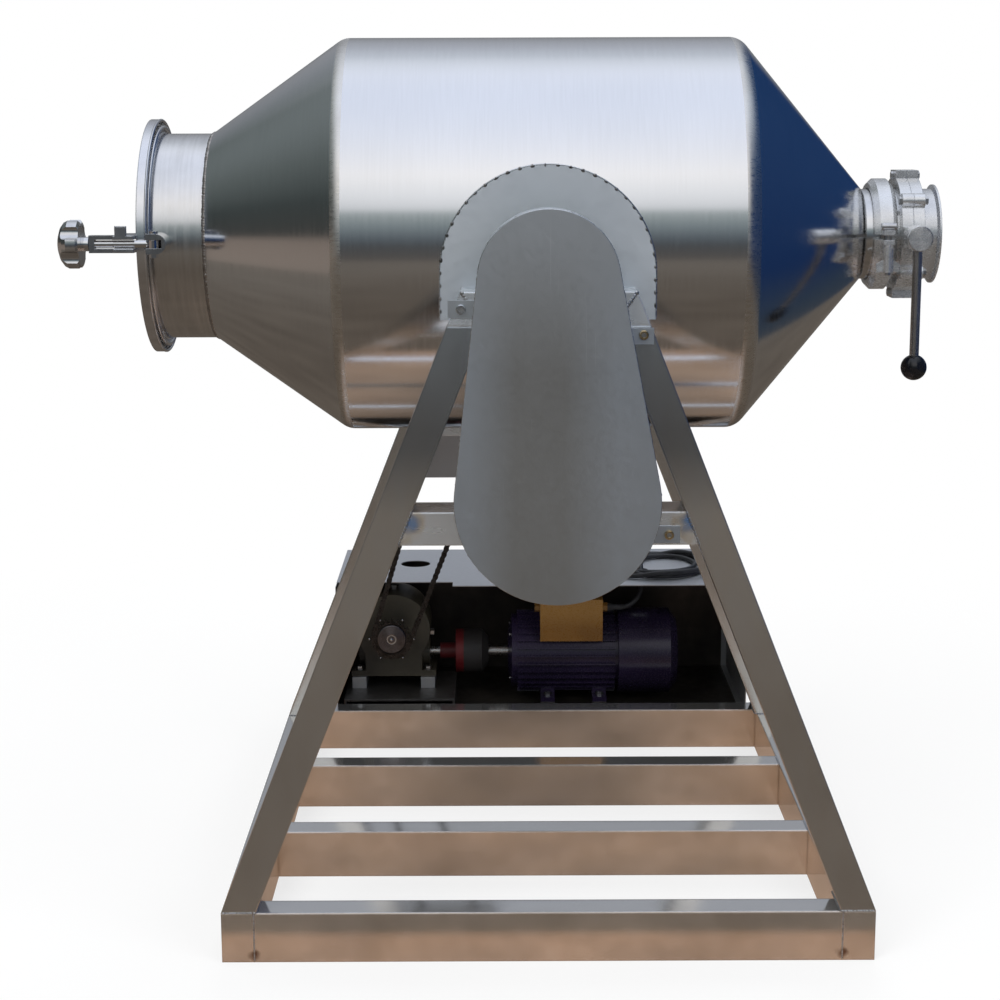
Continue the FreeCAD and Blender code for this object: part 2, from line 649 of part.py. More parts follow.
def lid():
    axis = ("0", "axis_height")
    inner_face = "-lid_face_x + lid_wall"
    pan = turned("lid_pan", [
        ("-skirt_edge_x", "lid_radius - lid_wall"), ("-skirt_edge_x", "lid_radius"),
        ("-lid_face_x", "lid_radius"), ("-lid_face_x", "0"), (inner_face, "0"),
        (inner_face, "lid_radius - lid_wall")], "X", axis)
    plates = []
    for word, side in (("front", -1), ("rear", 1)):
        for level in (-1, 1):
            z = sorted_span(level, "lug_gap_half", "lug_gap_half + lug_thickness", "axis_height")
            plates.append(box(f"{word}_lug_{level + 1}", ("-lug_end_x", "-lid_face_x"),
                              sorted_span(side, "lug_root_y", "lug_tip_y"), z))
    ear = box("front_lug_ear", ("-lug_end_x + 4", "-lug_end_x + 23"), ("-lug_tip_y", "-lug_tip_y + 3"),
              ("axis_height + lug_gap_half", "axis_height + lug_gap_half + lug_thickness + 15"))
    node("lid", fuse("lid_with_lugs", pan, ear, *plates))
    node("lid_gasket", tube("gasket_ring", "gasket_outer_radius", "gasket_inner_radius", "X",
                            (inner_face, "-neck_end - running_gap"), axis))


def sorted_span(side, near, far, middle="0"):
    """A span from near to far on one side of a middle, lowest value first."""
    if side > 0:
        return (f"{middle} + ({near})", f"{middle} + ({far})")
    return (f"{middle} - ({far})", f"{middle} - ({near})")


def star_knob(name, start, y):
    """A domed knob with a scalloped rim and a hub towards the yoke. Start is its hub's face."""
    knob_start = f"{start} - knob_hub_length"
    profile = [
        (start, "0"), (start, "knob_hub_radius"), (knob_start, "knob_hub_radius"),
        (knob_start, "knob_radius - 4"), (f"{knob_start} - 3", "knob_radius"),
        (f"{knob_start} - 19", "knob_radius"), (f"{knob_start} - 26", "knob_radius - 4"),
        (f"{knob_start} - 32", "knob_radius - 12"),
        (f"{knob_start} - knob_thickness", "knob_radius - 24"), (f"{knob_start} - knob_thickness", "0")]
    blank = turned(f"{name}_blank", profile, "X", (y, "axis_height"))
    lobes = 6
    scallops = []
    for k in range(lobes):
        angle = 2 * math.pi * (k + 0.5) / lobes
        across = (f"{y} + {math.cos(angle):.5f} * (knob_radius + 6)",
                  f"axis_height + {math.sin(angle):.5f} * (knob_radius + 6)")
        scallops.append(cylinder(f"{name}_scallop_{k}", "0.34 * knob_radius", "X",
                                 (f"{knob_start} - knob_thickness - 1", f"{knob_start} + 1"), across))
    bore = cylinder(f"{name}_bore", "bolt_radius + running_gap", "X",
                    (f"{knob_start} - knob_thickness + bolt_tip_margin", f"{start} + 1"), (y, "axis_height"))
    return cut(name, blank, bore, *scallops)


def swing_clamp(word, side, slack, angle):
    """A swing bolt with its yoke and star knob, turned about its hinge pin by an angle."""
    y = f"({side} * bolt_y)"
    across = (y, "axis_height")
    seat = f"-(lug_end_x + running_gap + {slack})"
    yoke_end = f"{seat} - yoke_length"
    knob_start = f"{yoke_end} - running_gap"
    knob_face = "-lug_end_x - 2 * running_gap - yoke_length - knob_hub_length - knob_thickness"
    bolt_end = f"{knob_face} + bolt_tip_margin + 2"
    rod = cylinder(f"{word}_rod", "bolt_radius", "X", (bolt_end, "-pin_x - pin_radius - 2"), across)
    eye = cylinder(f"{word}_eye", "eye_radius", "Z",
                   ("axis_height - eye_half_height", "axis_height + eye_half_height"), ("-pin_x", y))
    pin_hole = cylinder(f"{word}_eye_hole", "pin_radius + shaft_fit", "Z",
                        ("axis_height - eye_half_height - 1", "axis_height + eye_half_height + 1"),
                        ("-pin_x", y))
    bolt = cut(f"{word}_bolt", fuse(f"{word}_bolt_blank", rod, eye), pin_hole)
    block = box(f"{word}_yoke_block", (yoke_end, seat), (f"{y} - yoke_half_width", f"{y} + yoke_half_width"),
                ("axis_height - lug_gap_half - lug_thickness", "axis_height + lug_gap_half + lug_thickness"))
    slot = box(f"{word}_yoke_slot", (f"{yoke_end} + yoke_back", f"{seat} + 1"),
               (f"{y} - yoke_half_width - 1", f"{y} + yoke_half_width + 1"),
               ("axis_height - lug_gap_half - running_gap", "axis_height + lug_gap_half + running_gap"))
    bore = cylinder(f"{word}_yoke_bore", "bolt_radius + running_gap", "X",
                    (f"{yoke_end} - 1", f"{yoke_end} + yoke_back + 1"), across)
    yoke = cut(f"{word}_yoke_fork", block, slot, bore)
    knob = star_knob(f"{word}_knob_head", knob_start, y)
    pieces = [bolt, yoke, knob]
    if angle:
        pieces = [turned_copy(f"{word}_{k}_swung", piece, angle, -size("pin_x"), side * size("bolt_y"))
                  for k, piece in enumerate(pieces)]
    names = (f"{word}_clamp_bolt", f"{word}_yoke", f"{word}_knob")
    for label, piece in zip(names, pieces):
        node(label, piece)


def turned_copy(name, piece, angle, x, y):
    """A piece turned about a vertical line at x, y."""
    item = doc.addObject("Part::Compound", name)
    item.Links = [piece]
    turn = Rotation(Vector(0, 0, 1), angle)
    pivot = Vector(x, y, 0)
    item.Placement = Placement(pivot - turn.multVec(pivot), turn)
    return item


def clevises():
    blocks, pins = [], []
    for word, side in (("front", -1), ("rear", 1)):
        y = f"({side} * bolt_y)"
        z = ("axis_height - clevis_half_height", "axis_height + clevis_half_height")
        span_y = sorted_span(side, "neck_radius - 8", "clevis_outer_y")
        nose_x = "-clevis_right_x - clevis_half_height"
        block = box(f"{word}_clevis_block", ("-clevis_left_x", nose_x), span_y, z)
        nose = cylinder(f"{word}_clevis_nose", "clevis_half_height", "Y", span_y, (nose_x, "axis_height"))
        slot = box(f"{word}_clevis_slot", ("-clevis_left_x - 1", "-pin_x + eye_radius + 3"),
                   sorted_span(side, "bolt_y - eye_radius - 3", "clevis_outer_y + 1"),
                   ("axis_height - eye_half_height - running_gap",
                    "axis_height + eye_half_height + running_gap"))
        neck = cylinder(f"{word}_clevis_seat", "neck_radius", "X",
                        ("-clevis_left_x - 5", "-clevis_right_x + 5"),
                        ("0", "axis_height"))
        hole = cylinder(f"{word}_clevis_hole", "pin_radius", "Z", (f"{z[0]} - 1", f"{z[1]} + 1"),
                        ("-pin_x", y))
        blocks.append(cut(f"{word}_clevis", fuse(f"{word}_clevis_blank", block, nose), slot, neck, hole))
        shank = cylinder(f"{word}_pin_shank", "pin_radius", "Z", (f"{z[0]} - 6", f"{z[1]} + 4"),
                         ("-pin_x", y))
        head = cylinder(f"{word}_pin_head", "pin_radius + 3", "Z", (z[1], f"{z[1]} + 4"), ("-pin_x", y))
        nut = hexagon(f"{word}_pin_nut", "pin_radius + 3.5", "Z", (f"{z[0]} - 6", z[0]), ("-pin_x", y))
        pins.append(fuse(f"{word}_pin", shank, head, nut))
    node("clamp_clevises", *blocks)
    node("clamp_pins", *pins)


VALVE_BOLT_ANGLES = (90, 270, 37, -37, 143, 217)


def on_bolt_circle(angle):
    """Y and Z of a place on the valve's bolt circle."""
    turn = math.radians(angle)
    return (f"valve_bolt_circle * {math.cos(turn):.5f}",
            f"axis_height + valve_bolt_circle * {math.sin(turn):.5f}")


def valve_half(word, side):
    """Half of the valve body with its ferrule. Side -1 is the drum's side."""
    axis = ("0", "axis_height")
    joint = f"valve_x + ({side}) * running_gap / 2"
    outer = f"valve_x + ({side}) * valve_half_length"
    span = (joint, outer) if side > 0 else (outer, joint)
    disc = cylinder(f"{word}_half_disc", "valve_radius", "X", span, axis)
    lugs = box(f"{word}_half_lugs", span, ("-valve_lug_half_width", "valve_lug_half_width"),
               ("axis_height - valve_lug_height", "axis_height + valve_lug_height"))
    ears = [cylinder(f"{word}_ear_{angle + 90}", "3 * valve_bolt_radius", "X", span, on_bolt_circle(angle))
            for angle in VALVE_BOLT_ANGLES[2:]]
    neck = box(f"{word}_stem_neck", span, ("-hub_inner_y + running_gap", "0"),
               ("axis_height - 17", "axis_height + 17"))
    face = "outlet_end_x" if side > 0 else "clamp_x"
    bore_radius = "outlet_bore_radius" if side > 0 else "pipe_bore_radius"
    stub = ferrule(f"{word}_half_ferrule", joint, face, side, bore_radius)
    blank = fuse(f"{word}_half_blank", disc, lugs, neck, stub, *ears)
    bore = cylinder(f"{word}_half_bore", "pipe_bore_radius", "X", ("clamp_x - 1", "outlet_step_x"), axis)
    pocket = cylinder(f"{word}_seat_pocket", "seat_outer_radius", "X",
                      ("valve_x - seat_half_width", "valve_x + seat_half_width"), axis)
    stem = cylinder(f"{word}_stem_hole", "stem_radius + shaft_fit", "Y",
                    ("-hub_inner_y - 5", "seat_outer_radius + 4"),
                    ("valve_x", "axis_height"))
    holes = [cylinder(f"{word}_bolt_hole_{angle + 90}", "valve_bolt_radius", "X",
                      ("valve_x - valve_half_length - 1", "valve_x + valve_half_length + 1"),
                      on_bolt_circle(angle)) for angle in VALVE_BOLT_ANGLES]
    return cut(f"valve_{word}_half", blank, bore, pocket, stem, *holes)


def valve():
    axis = ("0", "axis_height")
    node("valve_body", valve_half("inlet", -1), valve_half("outlet", 1))
    seat_ring = tube("seat_ring", "seat_outer_radius", "pipe_bore_radius", "X",
                     ("valve_x - seat_half_width", "valve_x + seat_half_width"), axis)
    seat_hole = cylinder("seat_stem_hole", "stem_radius + shaft_fit", "Y",
                         ("-seat_outer_radius - 1", "seat_outer_radius + 1"), ("valve_x", "axis_height"))
    node("valve_seat", cut("valve_seat_ring", seat_ring, seat_hole))
    disc = cylinder("disc_plate", "pipe_bore_radius - running_gap", "X",
                    ("valve_x - disc_half_thickness", "valve_x + disc_half_thickness"), axis)
    round_edge = ball("disc_edge", "pipe_bore_radius - running_gap", "valve_x", "0", "axis_height")
    stem = cylinder("stem", "stem_radius", "Y", ("-handle_y + handle_radius + 3", "seat_outer_radius + 3"),
                    ("valve_x", "axis_height"))
    node("valve_disc", fuse("disc_with_stem", common("disc_rounded", disc, round_edge), stem))
    hub_blank = turned("hub_blank", [
        ("-hub_inner_y", "0"), ("-hub_inner_y", "hub_radius"), ("-hub_outer_y + 2", "hub_radius"),
        ("-hub_outer_y", "hub_radius - 2"), ("-hub_outer_y", "0")], "Y", ("valve_x", "axis_height"))
    stem_socket = cylinder("hub_socket", "stem_radius", "Y",
                           ("-handle_y + handle_radius + 3", "-hub_inner_y + 1"),
                           ("valve_x", "axis_height"))
    rod_socket = cylinder("rod_socket", "handle_radius + shaft_fit", "Z",
                          ("axis_height - hub_radius - 1", "axis_height + hub_radius - 7"),
                          ("valve_x", "-handle_y"))
    node("valve_hub", cut("handle_hub", hub_blank, stem_socket, rod_socket))
    rod_top = "axis_height + hub_radius - 8"
    node("handle_rod", cylinder("pull_rod", "handle_radius", "Z",
                                ("axis_height - ball_centre_drop + handle_ball_radius - 9", rod_top),
                                ("valve_x", "-handle_y")))
    knob = ball("pull_ball", "handle_ball_radius", "valve_x", "-handle_y", "axis_height - ball_centre_drop")
    socket = cylinder("ball_socket", "handle_radius", "Z",
                      ("axis_height - ball_centre_drop + handle_ball_radius - 9", "axis_height"),
                      ("valve_x", "-handle_y"))
    node("handle_ball", cut("handle_ball_body", knob, socket))


def valve_clamp():
    axis = ("0", "axis_height")

    def at(offset):
        return f"clamp_x + ({offset})"

    halves, bolts = [], []
    for word, level in (("upper", 1), ("lower", -1)):
        ring = turned(f"{word}_clamp_ring", [
            (at("-clamp_half_width"), "clamp_inner_radius"),
            (at("-clamp_half_width"), "clamp_outer_radius - 8"),
            (at("-clamp_half_width + 8"), "clamp_outer_radius"),
            (at("clamp_half_width - 8"), "clamp_outer_radius"),
            (at("clamp_half_width"), "clamp_outer_radius - 8"),
            (at("clamp_half_width"), "clamp_inner_radius"),
            (at("lip_thickness + 0.4"), "clamp_inner_radius"),
            (at("lip_thickness / 2 + 0.4"), "lip_radius + 0.3"),
            (at("-lip_thickness / 2 - 0.4"), "lip_radius + 0.3"),
            (at("-lip_thickness - 0.4"), "clamp_inner_radius")], "X", axis)
        window = box(f"{word}_window", (at("-clamp_half_width - 1"), at("clamp_half_width + 1")),
                     ("-clamp_outer_radius - 1", "clamp_outer_radius + 1"),
                     sorted_span(level, "clamp_split", "clamp_outer_radius + 20", "axis_height"))
        lug_z = sorted_span(level, "clamp_split", "clamp_split + clamp_lug", "axis_height")
        lugs = [box(f"{word}_clamp_lug_{side + 1}", (at("-9"), at("9")),
                    sorted_span(side, "clamp_outer_radius - 7", "clamp_bolt_y + 9"), lug_z)
                for side in (-1, 1)]
        holes = [cylinder(f"{word}_clamp_hole_{side + 1}", "clamp_bolt_radius + 0.5", "Z",
                          ("axis_height - 40", "axis_height + 40"), ("clamp_x", f"{side} * clamp_bolt_y"))
                 for side in (-1, 1)]
        arc = common(f"{word}_clamp_arc", ring, window)
        halves.append(cut(f"{word}_clamp_half", fuse(f"{word}_clamp_blank", arc, *lugs), *holes))
    node("valve_clamp", *halves)

    top = "axis_height + clamp_split + clamp_lug"
    bottom = "axis_height - clamp_split - clamp_lug"
    front = ("clamp_x", "-clamp_bolt_y")
    shank = cylinder("clamp_bolt_shank", "clamp_bolt_radius", "Z",
                     (f"{bottom} - clamp_bolt_tail", f"{top} + 1"), front)
    bar = cylinder("clamp_bolt_bar", "clamp_bolt_radius + 1", "X", ("clamp_x - 12", "clamp_x + 12"),
                   ("-clamp_bolt_y", f"{top} + clamp_bolt_radius + 1"))
    bolts.append(fuse("clamp_tee_bolt", shank, bar))
    bolts.append(bolt_with_nut("clamp_rear_bolt", "clamp_bolt_radius", "clamp_x", "clamp_bolt_y", bottom,
                               top))

    barrel = cylinder("wing_barrel", "clamp_bolt_radius + 4", "Z",
                      (f"{bottom} - wing_nut_height", f"{bottom} - running_gap"), front)
    wings = [extruded(f"wing_{word}", [
        (f"clamp_x + ({side}) * 7", f"{bottom} - wing_nut_height + 2"),
        (f"clamp_x + ({side}) * 19", f"{bottom} - wing_nut_height"),
        (f"clamp_x + ({side}) * 20", f"{bottom} - wing_nut_height + 14"),
        (f"clamp_x + ({side}) * 7", f"{bottom} - wing_nut_height + 22")], "Y",
        ("-clamp_bolt_y - 3", "-clamp_bolt_y + 3")) for word, side in (("left", -1), ("right", 1))]
    thread = cylinder("wing_bore", "clamp_bolt_radius + shaft_fit", "Z",
                      (f"{bottom} - wing_nut_height - 1", f"{bottom} + 1"), front)
    node("valve_wing_nut", cut("wing_nut_body", fuse("wing_nut_blank", barrel, *wings), thread))

    for angle in VALVE_BOLT_ANGLES:
        across = on_bolt_circle(angle)
        left, right = "valve_x - valve_half_length", "valve_x + valve_half_length"
        name = f"valve_bolt_{angle + 90}"
        bolts.append(fuse(name,
                          cylinder(f"{name}_shank", "valve_bolt_radius - 0.3", "X", (left, right), across),
                          hexagon(f"{name}_head", "1.7 * valve_bolt_radius", "X", (f"{left} - 4.5", left),
                                  across),
                          hexagon(f"{name}_nut", "1.7 * valve_bolt_radius", "X", (right, f"{right} + 6"),
                                  across)))
    node("valve_bolts", *bolts)


def shroud_prism(name, radius, foot, span):
    """A half-round shape with straight sides down to a foot, between two values of Y."""
    round_top = cylinder(f"{name}_round", radius, "Y", span, ("0", "axis_height - shroud_centre_drop"))
    sides = box(f"{name}_sides", (f"-({radius})", radius), span, (foot, "axis_height - shroud_centre_drop"))
    keep = box(f"{name}_keep", (f"-({radius})", radius), span, (foot, "axis_height + 200"))
    return common(name, fuse(f"{name}_blank", round_top, sides), keep)


def guard_place(y):
    return Placement(Vector(size("guard_top_shift"), y, size("axis_height") - size("guard_top_drop")),
                     guard_turn())


def facing_front(run, drop):
    """Local X down a line that runs right and drops, local Z towards the front."""
    length = math.hypot(run, drop)
    along = Vector(run / length, 0, -drop / length)
    front = Vector(0, -1, 0)
    return Rotation(along, front.cross(along), front, "XZY")


def guard_turn():
    return facing_front(size("guard_low_shift") - size("guard_top_shift"),
                        size("guard_low_drop") - size("guard_top_drop"))


def chain_turn():
    return facing_front(-size("sprocket_shift"), size("axis_height") - size("drive_axis_height"))


def front_guards():
    back = f"-({frame_inner_y})"
    mouth = f"{back} + shroud_depth"
    outer = shroud_prism("shroud_outer", "shroud_radius", "axis_height - shroud_foot_drop", (back, mouth))
    inner = shroud_prism("shroud_inner", "shroud_radius - plate", "axis_height - shroud_foot_drop - 1",
                         (f"{back} + plate", f"{mouth} + 1"))
    hole = cylinder("shroud_hole", "shoulder_radius + 5", "Y", (f"{back} - 1", mouth), ("0", "axis_height"))
    node("front_shroud", cut("shroud_shell", outer, inner, hole))

    low_length = "sqrt((guard_low_drop - guard_top_drop)^2 + (guard_low_shift - guard_top_shift)^2)"
    rough = (102, 150, 320)
    outside = belt_prism("guard_outside", "guard_top_radius", "guard_low_radius", low_length, rough,
                         "guard_depth",
                         guard_place(-size("base_half_depth")))
    inside = belt_prism("guard_inside", "guard_top_radius - plate", "guard_low_radius - plate", low_length,
                        rough,
                        "guard_depth - plate + 1", guard_place(-size("base_half_depth") + 1))
    tabs = []
    for word, (near, far), (low, high) in GUARD_TABS:
        tabs.append(box(f"guard_tab_{word}", (near, far), ("-base_half_depth - plate", "-base_half_depth"),
                        (f"axis_height - {low}", f"axis_height - {high}")))
    bores = [cylinder(f"guard_bore_{k}", "guard_bolt_radius", "Y",
                      ("-base_half_depth - 10", "-base_half_depth + 1"),
                      (x, f"axis_height - {drop}")) for k, (x, drop) in enumerate(GUARD_BOLTS)]
    node("front_guard", cut("guard_shell", fuse("guard_blank", outside, *tabs), inside, *bores))

    bolts = []
    for k, (x, drop) in enumerate(GUARD_BOLTS):
        across = (x, f"axis_height - {drop}")
        face, wall = "-base_half_depth - plate", "-base_half_depth + tube_wall"
        bolts.append(fuse(f"guard_bolt_{k}",
                          cylinder(f"guard_bolt_{k}_shank", "guard_bolt_radius - 0.3", "Y", (face, wall),
                                   across),
                          hexagon(f"guard_bolt_{k}_head", "1.7 * guard_bolt_radius", "Y",
                                  (f"{face} - 5", face), across),
                          hexagon(f"guard_bolt_{k}_nut", "1.7 * guard_bolt_radius", "Y",
                                  (wall, f"{wall} + 5"), across)))
    node("guard_bolts", *bolts)


def sprocket(name, teeth, across, bore, hub_radius, hub_span):
    """A chain sprocket: a toothed plate with a hub, bored for its shaft."""
    pitch_radius = f"(chain_pitch / 2 / sin(180 / {teeth}))"
    plate_span = ("chain_y - tooth_width / 2", "chain_y + tooth_width / 2")
    disc = cylinder(f"{name}_disc", f"{pitch_radius} + tooth_height", "Y", plate_span, across)
    count = int(size(teeth))
    drop = size("axis_height") - size("drive_axis_height")
    facing = math.atan2(-drop, -size("sprocket_shift")) + (math.pi if "drum" in name else 0)
    gaps = []
    for k in range(count):
        angle = facing + 2 * math.pi * k / count
        gaps.append(cylinder(f"{name}_gap_{k}", "roller_radius + 1.25", "Y", plate_span,
                             (f"{across[0]} + {pitch_radius} * {math.cos(angle):.6f}",
                              f"{across[1]} + {pitch_radius} * {math.sin(angle):.6f}")))
    hub = cylinder(f"{name}_hub", hub_radius, "Y", hub_span, across)
    hole = cylinder(f"{name}_bore", bore, "Y", (f"{hub_span[0]} - 1", f"{hub_span[1]} + 1"), across)
    return cut(f"{name}_toothed", fuse(f"{name}_blank", cut(f"{name}_plate", disc, *gaps), hub), hole)


chain_centres = "sqrt((axis_height - drive_axis_height)^2 + sprocket_shift^2)"
drive_axis = ("-sprocket_shift", "drive_axis_height")
worm_z = "(drive_axis_height - centre_distance)"


def chain_roller_places():
    """Roller centres in the chain's own plane, with the big sprocket at the origin and the small one along X.
    Half of the loop is walked from the big sprocket's far point, and mirrored. Its straight run is
    stretched a little, as if tightened, so that a whole number of links fits both sprockets' teeth."""
    pitch = size("chain_pitch")
    centres = math.hypot(size("axis_height") - size("drive_axis_height"), size("sprocket_shift"))
    big_step, small_step = math.pi / size("drum_sprocket_teeth"), math.pi / size("drive_sprocket_teeth")
    big, small = pitch / 2 / math.sin(big_step), pitch / 2 / math.sin(small_step)
    tilt = math.asin((big - small) / centres)
    straight = math.sqrt(centres ** 2 - (big - small) ** 2)
    on_big, on_small = (math.pi / 2 + tilt) / (2 * big_step), (math.pi / 2 - tilt) / (2 * small_step)
    links = round(on_big + straight / pitch + on_small)
    on_straight = links - on_big - on_small
    print("chain of", 2 * links, "links, stretched by", round(straight / on_straight / pitch - 1, 6))
    half = []
    for link_number in range(links + 1):
        if link_number <= on_big:
            angle = math.pi - 2 * big_step * link_number
            place = Vector(big * math.cos(angle), big * math.sin(angle), 0)
        elif link_number <= on_big + on_straight:
            travel = (link_number - on_big) * straight / on_straight
            start = Vector(big * math.sin(tilt), big * math.cos(tilt), 0)
            place = start + Vector(math.cos(tilt), -math.sin(tilt), 0) * travel
        else:
            angle = 2 * small_step * (links - link_number)
            place = Vector(centres + small * math.cos(angle), small * math.sin(angle), 0)
        half.append(place)
    return half + [Vector(place.x, -place.y, 0) for place in half[1:-1]]


def chain():
    big = "chain_pitch / 2 / sin(180 / drum_sprocket_teeth)"
    small = "chain_pitch / 2 / sin(180 / drive_sprocket_teeth)"
    rough = (77, 39, 923)
    bands = []
    gap = size("tooth_width") / 2 + size("running_gap")
    for word, y in (("front", size("chain_y") - gap),
                    ("rear", size("chain_y") + gap + size("link_thickness"))):
        place = Placement(Vector(0, y, size("axis_height")), chain_turn())
        outside = belt_prism(f"{word}_plates_outside", f"{big} + link_half_height",
                             f"{small} + link_half_height",
                             chain_centres, rough, "link_thickness", place)
        inside = belt_prism(f"{word}_plates_inside", f"{big} - link_half_height",
                            f"{small} - link_half_height",
                            chain_centres, rough, "link_thickness", place)
        bands.append(cut(f"{word}_plates", outside, inside))
    width = 2 * gap
    rollers = doc.addObject("Part::Feature", "chain_rollers")
    rollers.Shape = Part.makeCompound([
        Part.makeCylinder(size("roller_radius"), width, place, Vector(0, 0, 1))
        for place in chain_roller_places()])
    rollers.Placement = Placement(Vector(0, size("chain_y") + width / 2, size("axis_height")), chain_turn())
    node("drive_chain", rollers, *bands)


def chain_guard():
    front = size("base_half_depth") + 11
    depth = size("chain_guard_end_y") - front
    rough = (112, 78, 700)
    lean = "700"
    place = Placement(Vector(0, front + depth, size("axis_height")), chain_turn())
    inset = Placement(Vector(0, front + depth - size("plate"), size("axis_height")), chain_turn())
    low_radius = "chain_guard_low_radius"
    outside = belt_prism("chain_guard_outside", "chain_guard_top_radius", low_radius, lean, rough,
                         "chain_guard_end_y - base_half_depth - 11", place)
    inside = belt_prism("chain_guard_inside", "chain_guard_top_radius - plate", f"{low_radius} - plate", lean,
                        rough,
                        "chain_guard_end_y - base_half_depth - 11 - 2 * plate", inset)
    below = box("chain_guard_open_end", ("-600", "300"), ("base_half_depth", "chain_guard_end_y + 1"),
                ("0", "axis_height - chain_guard_drop"))
    hole = cylinder("chain_guard_hole", "shaft_radius + 6", "Y",
                    ("base_half_depth + 5", "chain_guard_end_y - plate - 1"), ("0", "axis_height"))
    brackets = [box("chain_guard_top_bracket", ("-20", "20"), ("base_half_depth", "base_half_depth + 11.5"),
                    (f"{bar_bottom} + 5", f"{bar_top} - 5")),
                box("chain_guard_low_bracket", ("-165", "-105"),
                    ("base_half_depth", "base_half_depth + 11.5"),
                    (f"{crossbar_bottom} + 5", f"{crossbar_top} - 5"))]
    node("chain_guard", cut("chain_guard_shell", fuse("chain_guard_blank", outside, *brackets), inside, below,
                            hole))


def drive_housing():
    top, floor = "cover_height", "pan_height"
    x = ("housing_left_x", "housing_right_x")
    y = ("housing_front_y", "housing_rear_y")
    lid_plate = box("cover_plate", x, y, (top, f"{top} + plate"))
    notch = box("cover_notch", ("housing_left_x - 1", "notch_right_x"), ("housing_front_y - 1", "notch_y"),
                (f"{top} - 1", f"{top} + plate + 1"))
    hole = cylinder("cover_hole", "access_hole_radius", "Z", (f"{top} - 1", f"{top} + plate + 1"),
                    ("access_hole_x", "access_hole_y"))
    cable_hole = cylinder("cover_cable_hole", "3 * cable_radius", "Z", (f"{top} - 1", f"{top} + plate + 1"),
                          ("cable_exit_x", "cable_exit_y"))
    node("housing_top", cut("cover", lid_plate, notch, hole, cable_hole))

    wall_z = (floor, top)
    node("housing_walls", fuse(
        "walls",
        box("left_wall", ("housing_left_x", "housing_left_x + plate"), y, wall_z),
        box("right_wall", ("housing_right_x - plate", "housing_right_x"), y, wall_z),
        box("back_wall", x, ("housing_rear_y - plate", "housing_rear_y"), wall_z)))

    pan = box("pan", x, ("base_half_depth + 2", "housing_rear_y"), (f"{floor} - plate", floor))
    skids = [box(f"skid_{k}", (start, f"{start} + tube_narrow"), ("base_half_depth", "housing_rear_y"),
                 ("0", f"{floor} - plate"))
             for k, start in enumerate(
                 ("housing_left_x", "-tube_narrow / 2", "housing_right_x - tube_narrow"))]
    node("housing_floor", fuse("floor_with_skids", pan, *skids))


# Bolt places in X and Y.
GEARBOX_BOLTS = [(f"-sprocket_shift + ({x})", f"gearbox_y + ({y})") for x in (-73, 73) for y in (-43, 43)]
MOTOR_FEET = (("motor_left_x + 69", "motor_left_x + 99"), ("motor_left_x + 179", "motor_left_x + 209"))
MOTOR_BOLTS = [(f"motor_left_x + {x}", f"gearbox_y {sign} motor_foot_spread")
               for x in (84, 194) for sign in "-+"]


def drive_mounts():
    floor, top = "pan_height", "channel_top"
    left, right = "-sprocket_shift - 100", "-sprocket_shift + 132"
    front, rear = "gearbox_y - 150", "gearbox_y + 65"
    channel = box("channel_block", (left, right), (front, rear), (floor, top))
    hollow_part = box("channel_inside", (f"{left} + 5", f"{right} - 5"), (f"{front} - 1", f"{rear} + 1"),
                      (f"{floor} - 1", f"{top} - 5"))
    feet_z = (top, f"{worm_z} - worm_case_radius - 9")
    bars = [box(f"gearbox_bar_{k}", (f"-sprocket_shift + ({x}) - 15", f"-sprocket_shift + ({x}) + 15"),
                ("gearbox_y - 70", "gearbox_y + 70"), feet_z) for k, x in enumerate((-73, 73))]
    foot_bottom = f"{worm_z} - motor_radius - 10"
    rails = [box(f"motor_rail_{k}", span, ("gearbox_y - 90", "gearbox_y + 90"), (floor, foot_bottom))
             for k, span in enumerate(MOTOR_FEET)]
    holes = [cylinder(f"gearbox_bar_hole_{k}", "5", "Z", (f"{top} - 10", f"{top} + 60"), place)
             for k, place in enumerate(GEARBOX_BOLTS)]
    motor_holes = [cylinder(f"motor_rail_hole_{k}", "5", "Z", (f"{floor} - 1", f"{foot_bottom} + 1"), place)
                   for k, place in enumerate(MOTOR_BOLTS)]
    node("drive_mounts",
         cut("channel_with_bars", fuse("channel_and_bars", cut("channel", channel, hollow_part), *bars),
             *holes),
         *[cut(f"motor_rail_{k}_drilled", rail, *motor_holes[2 * k:2 * k + 2])
           for k, rail in enumerate(rails)])


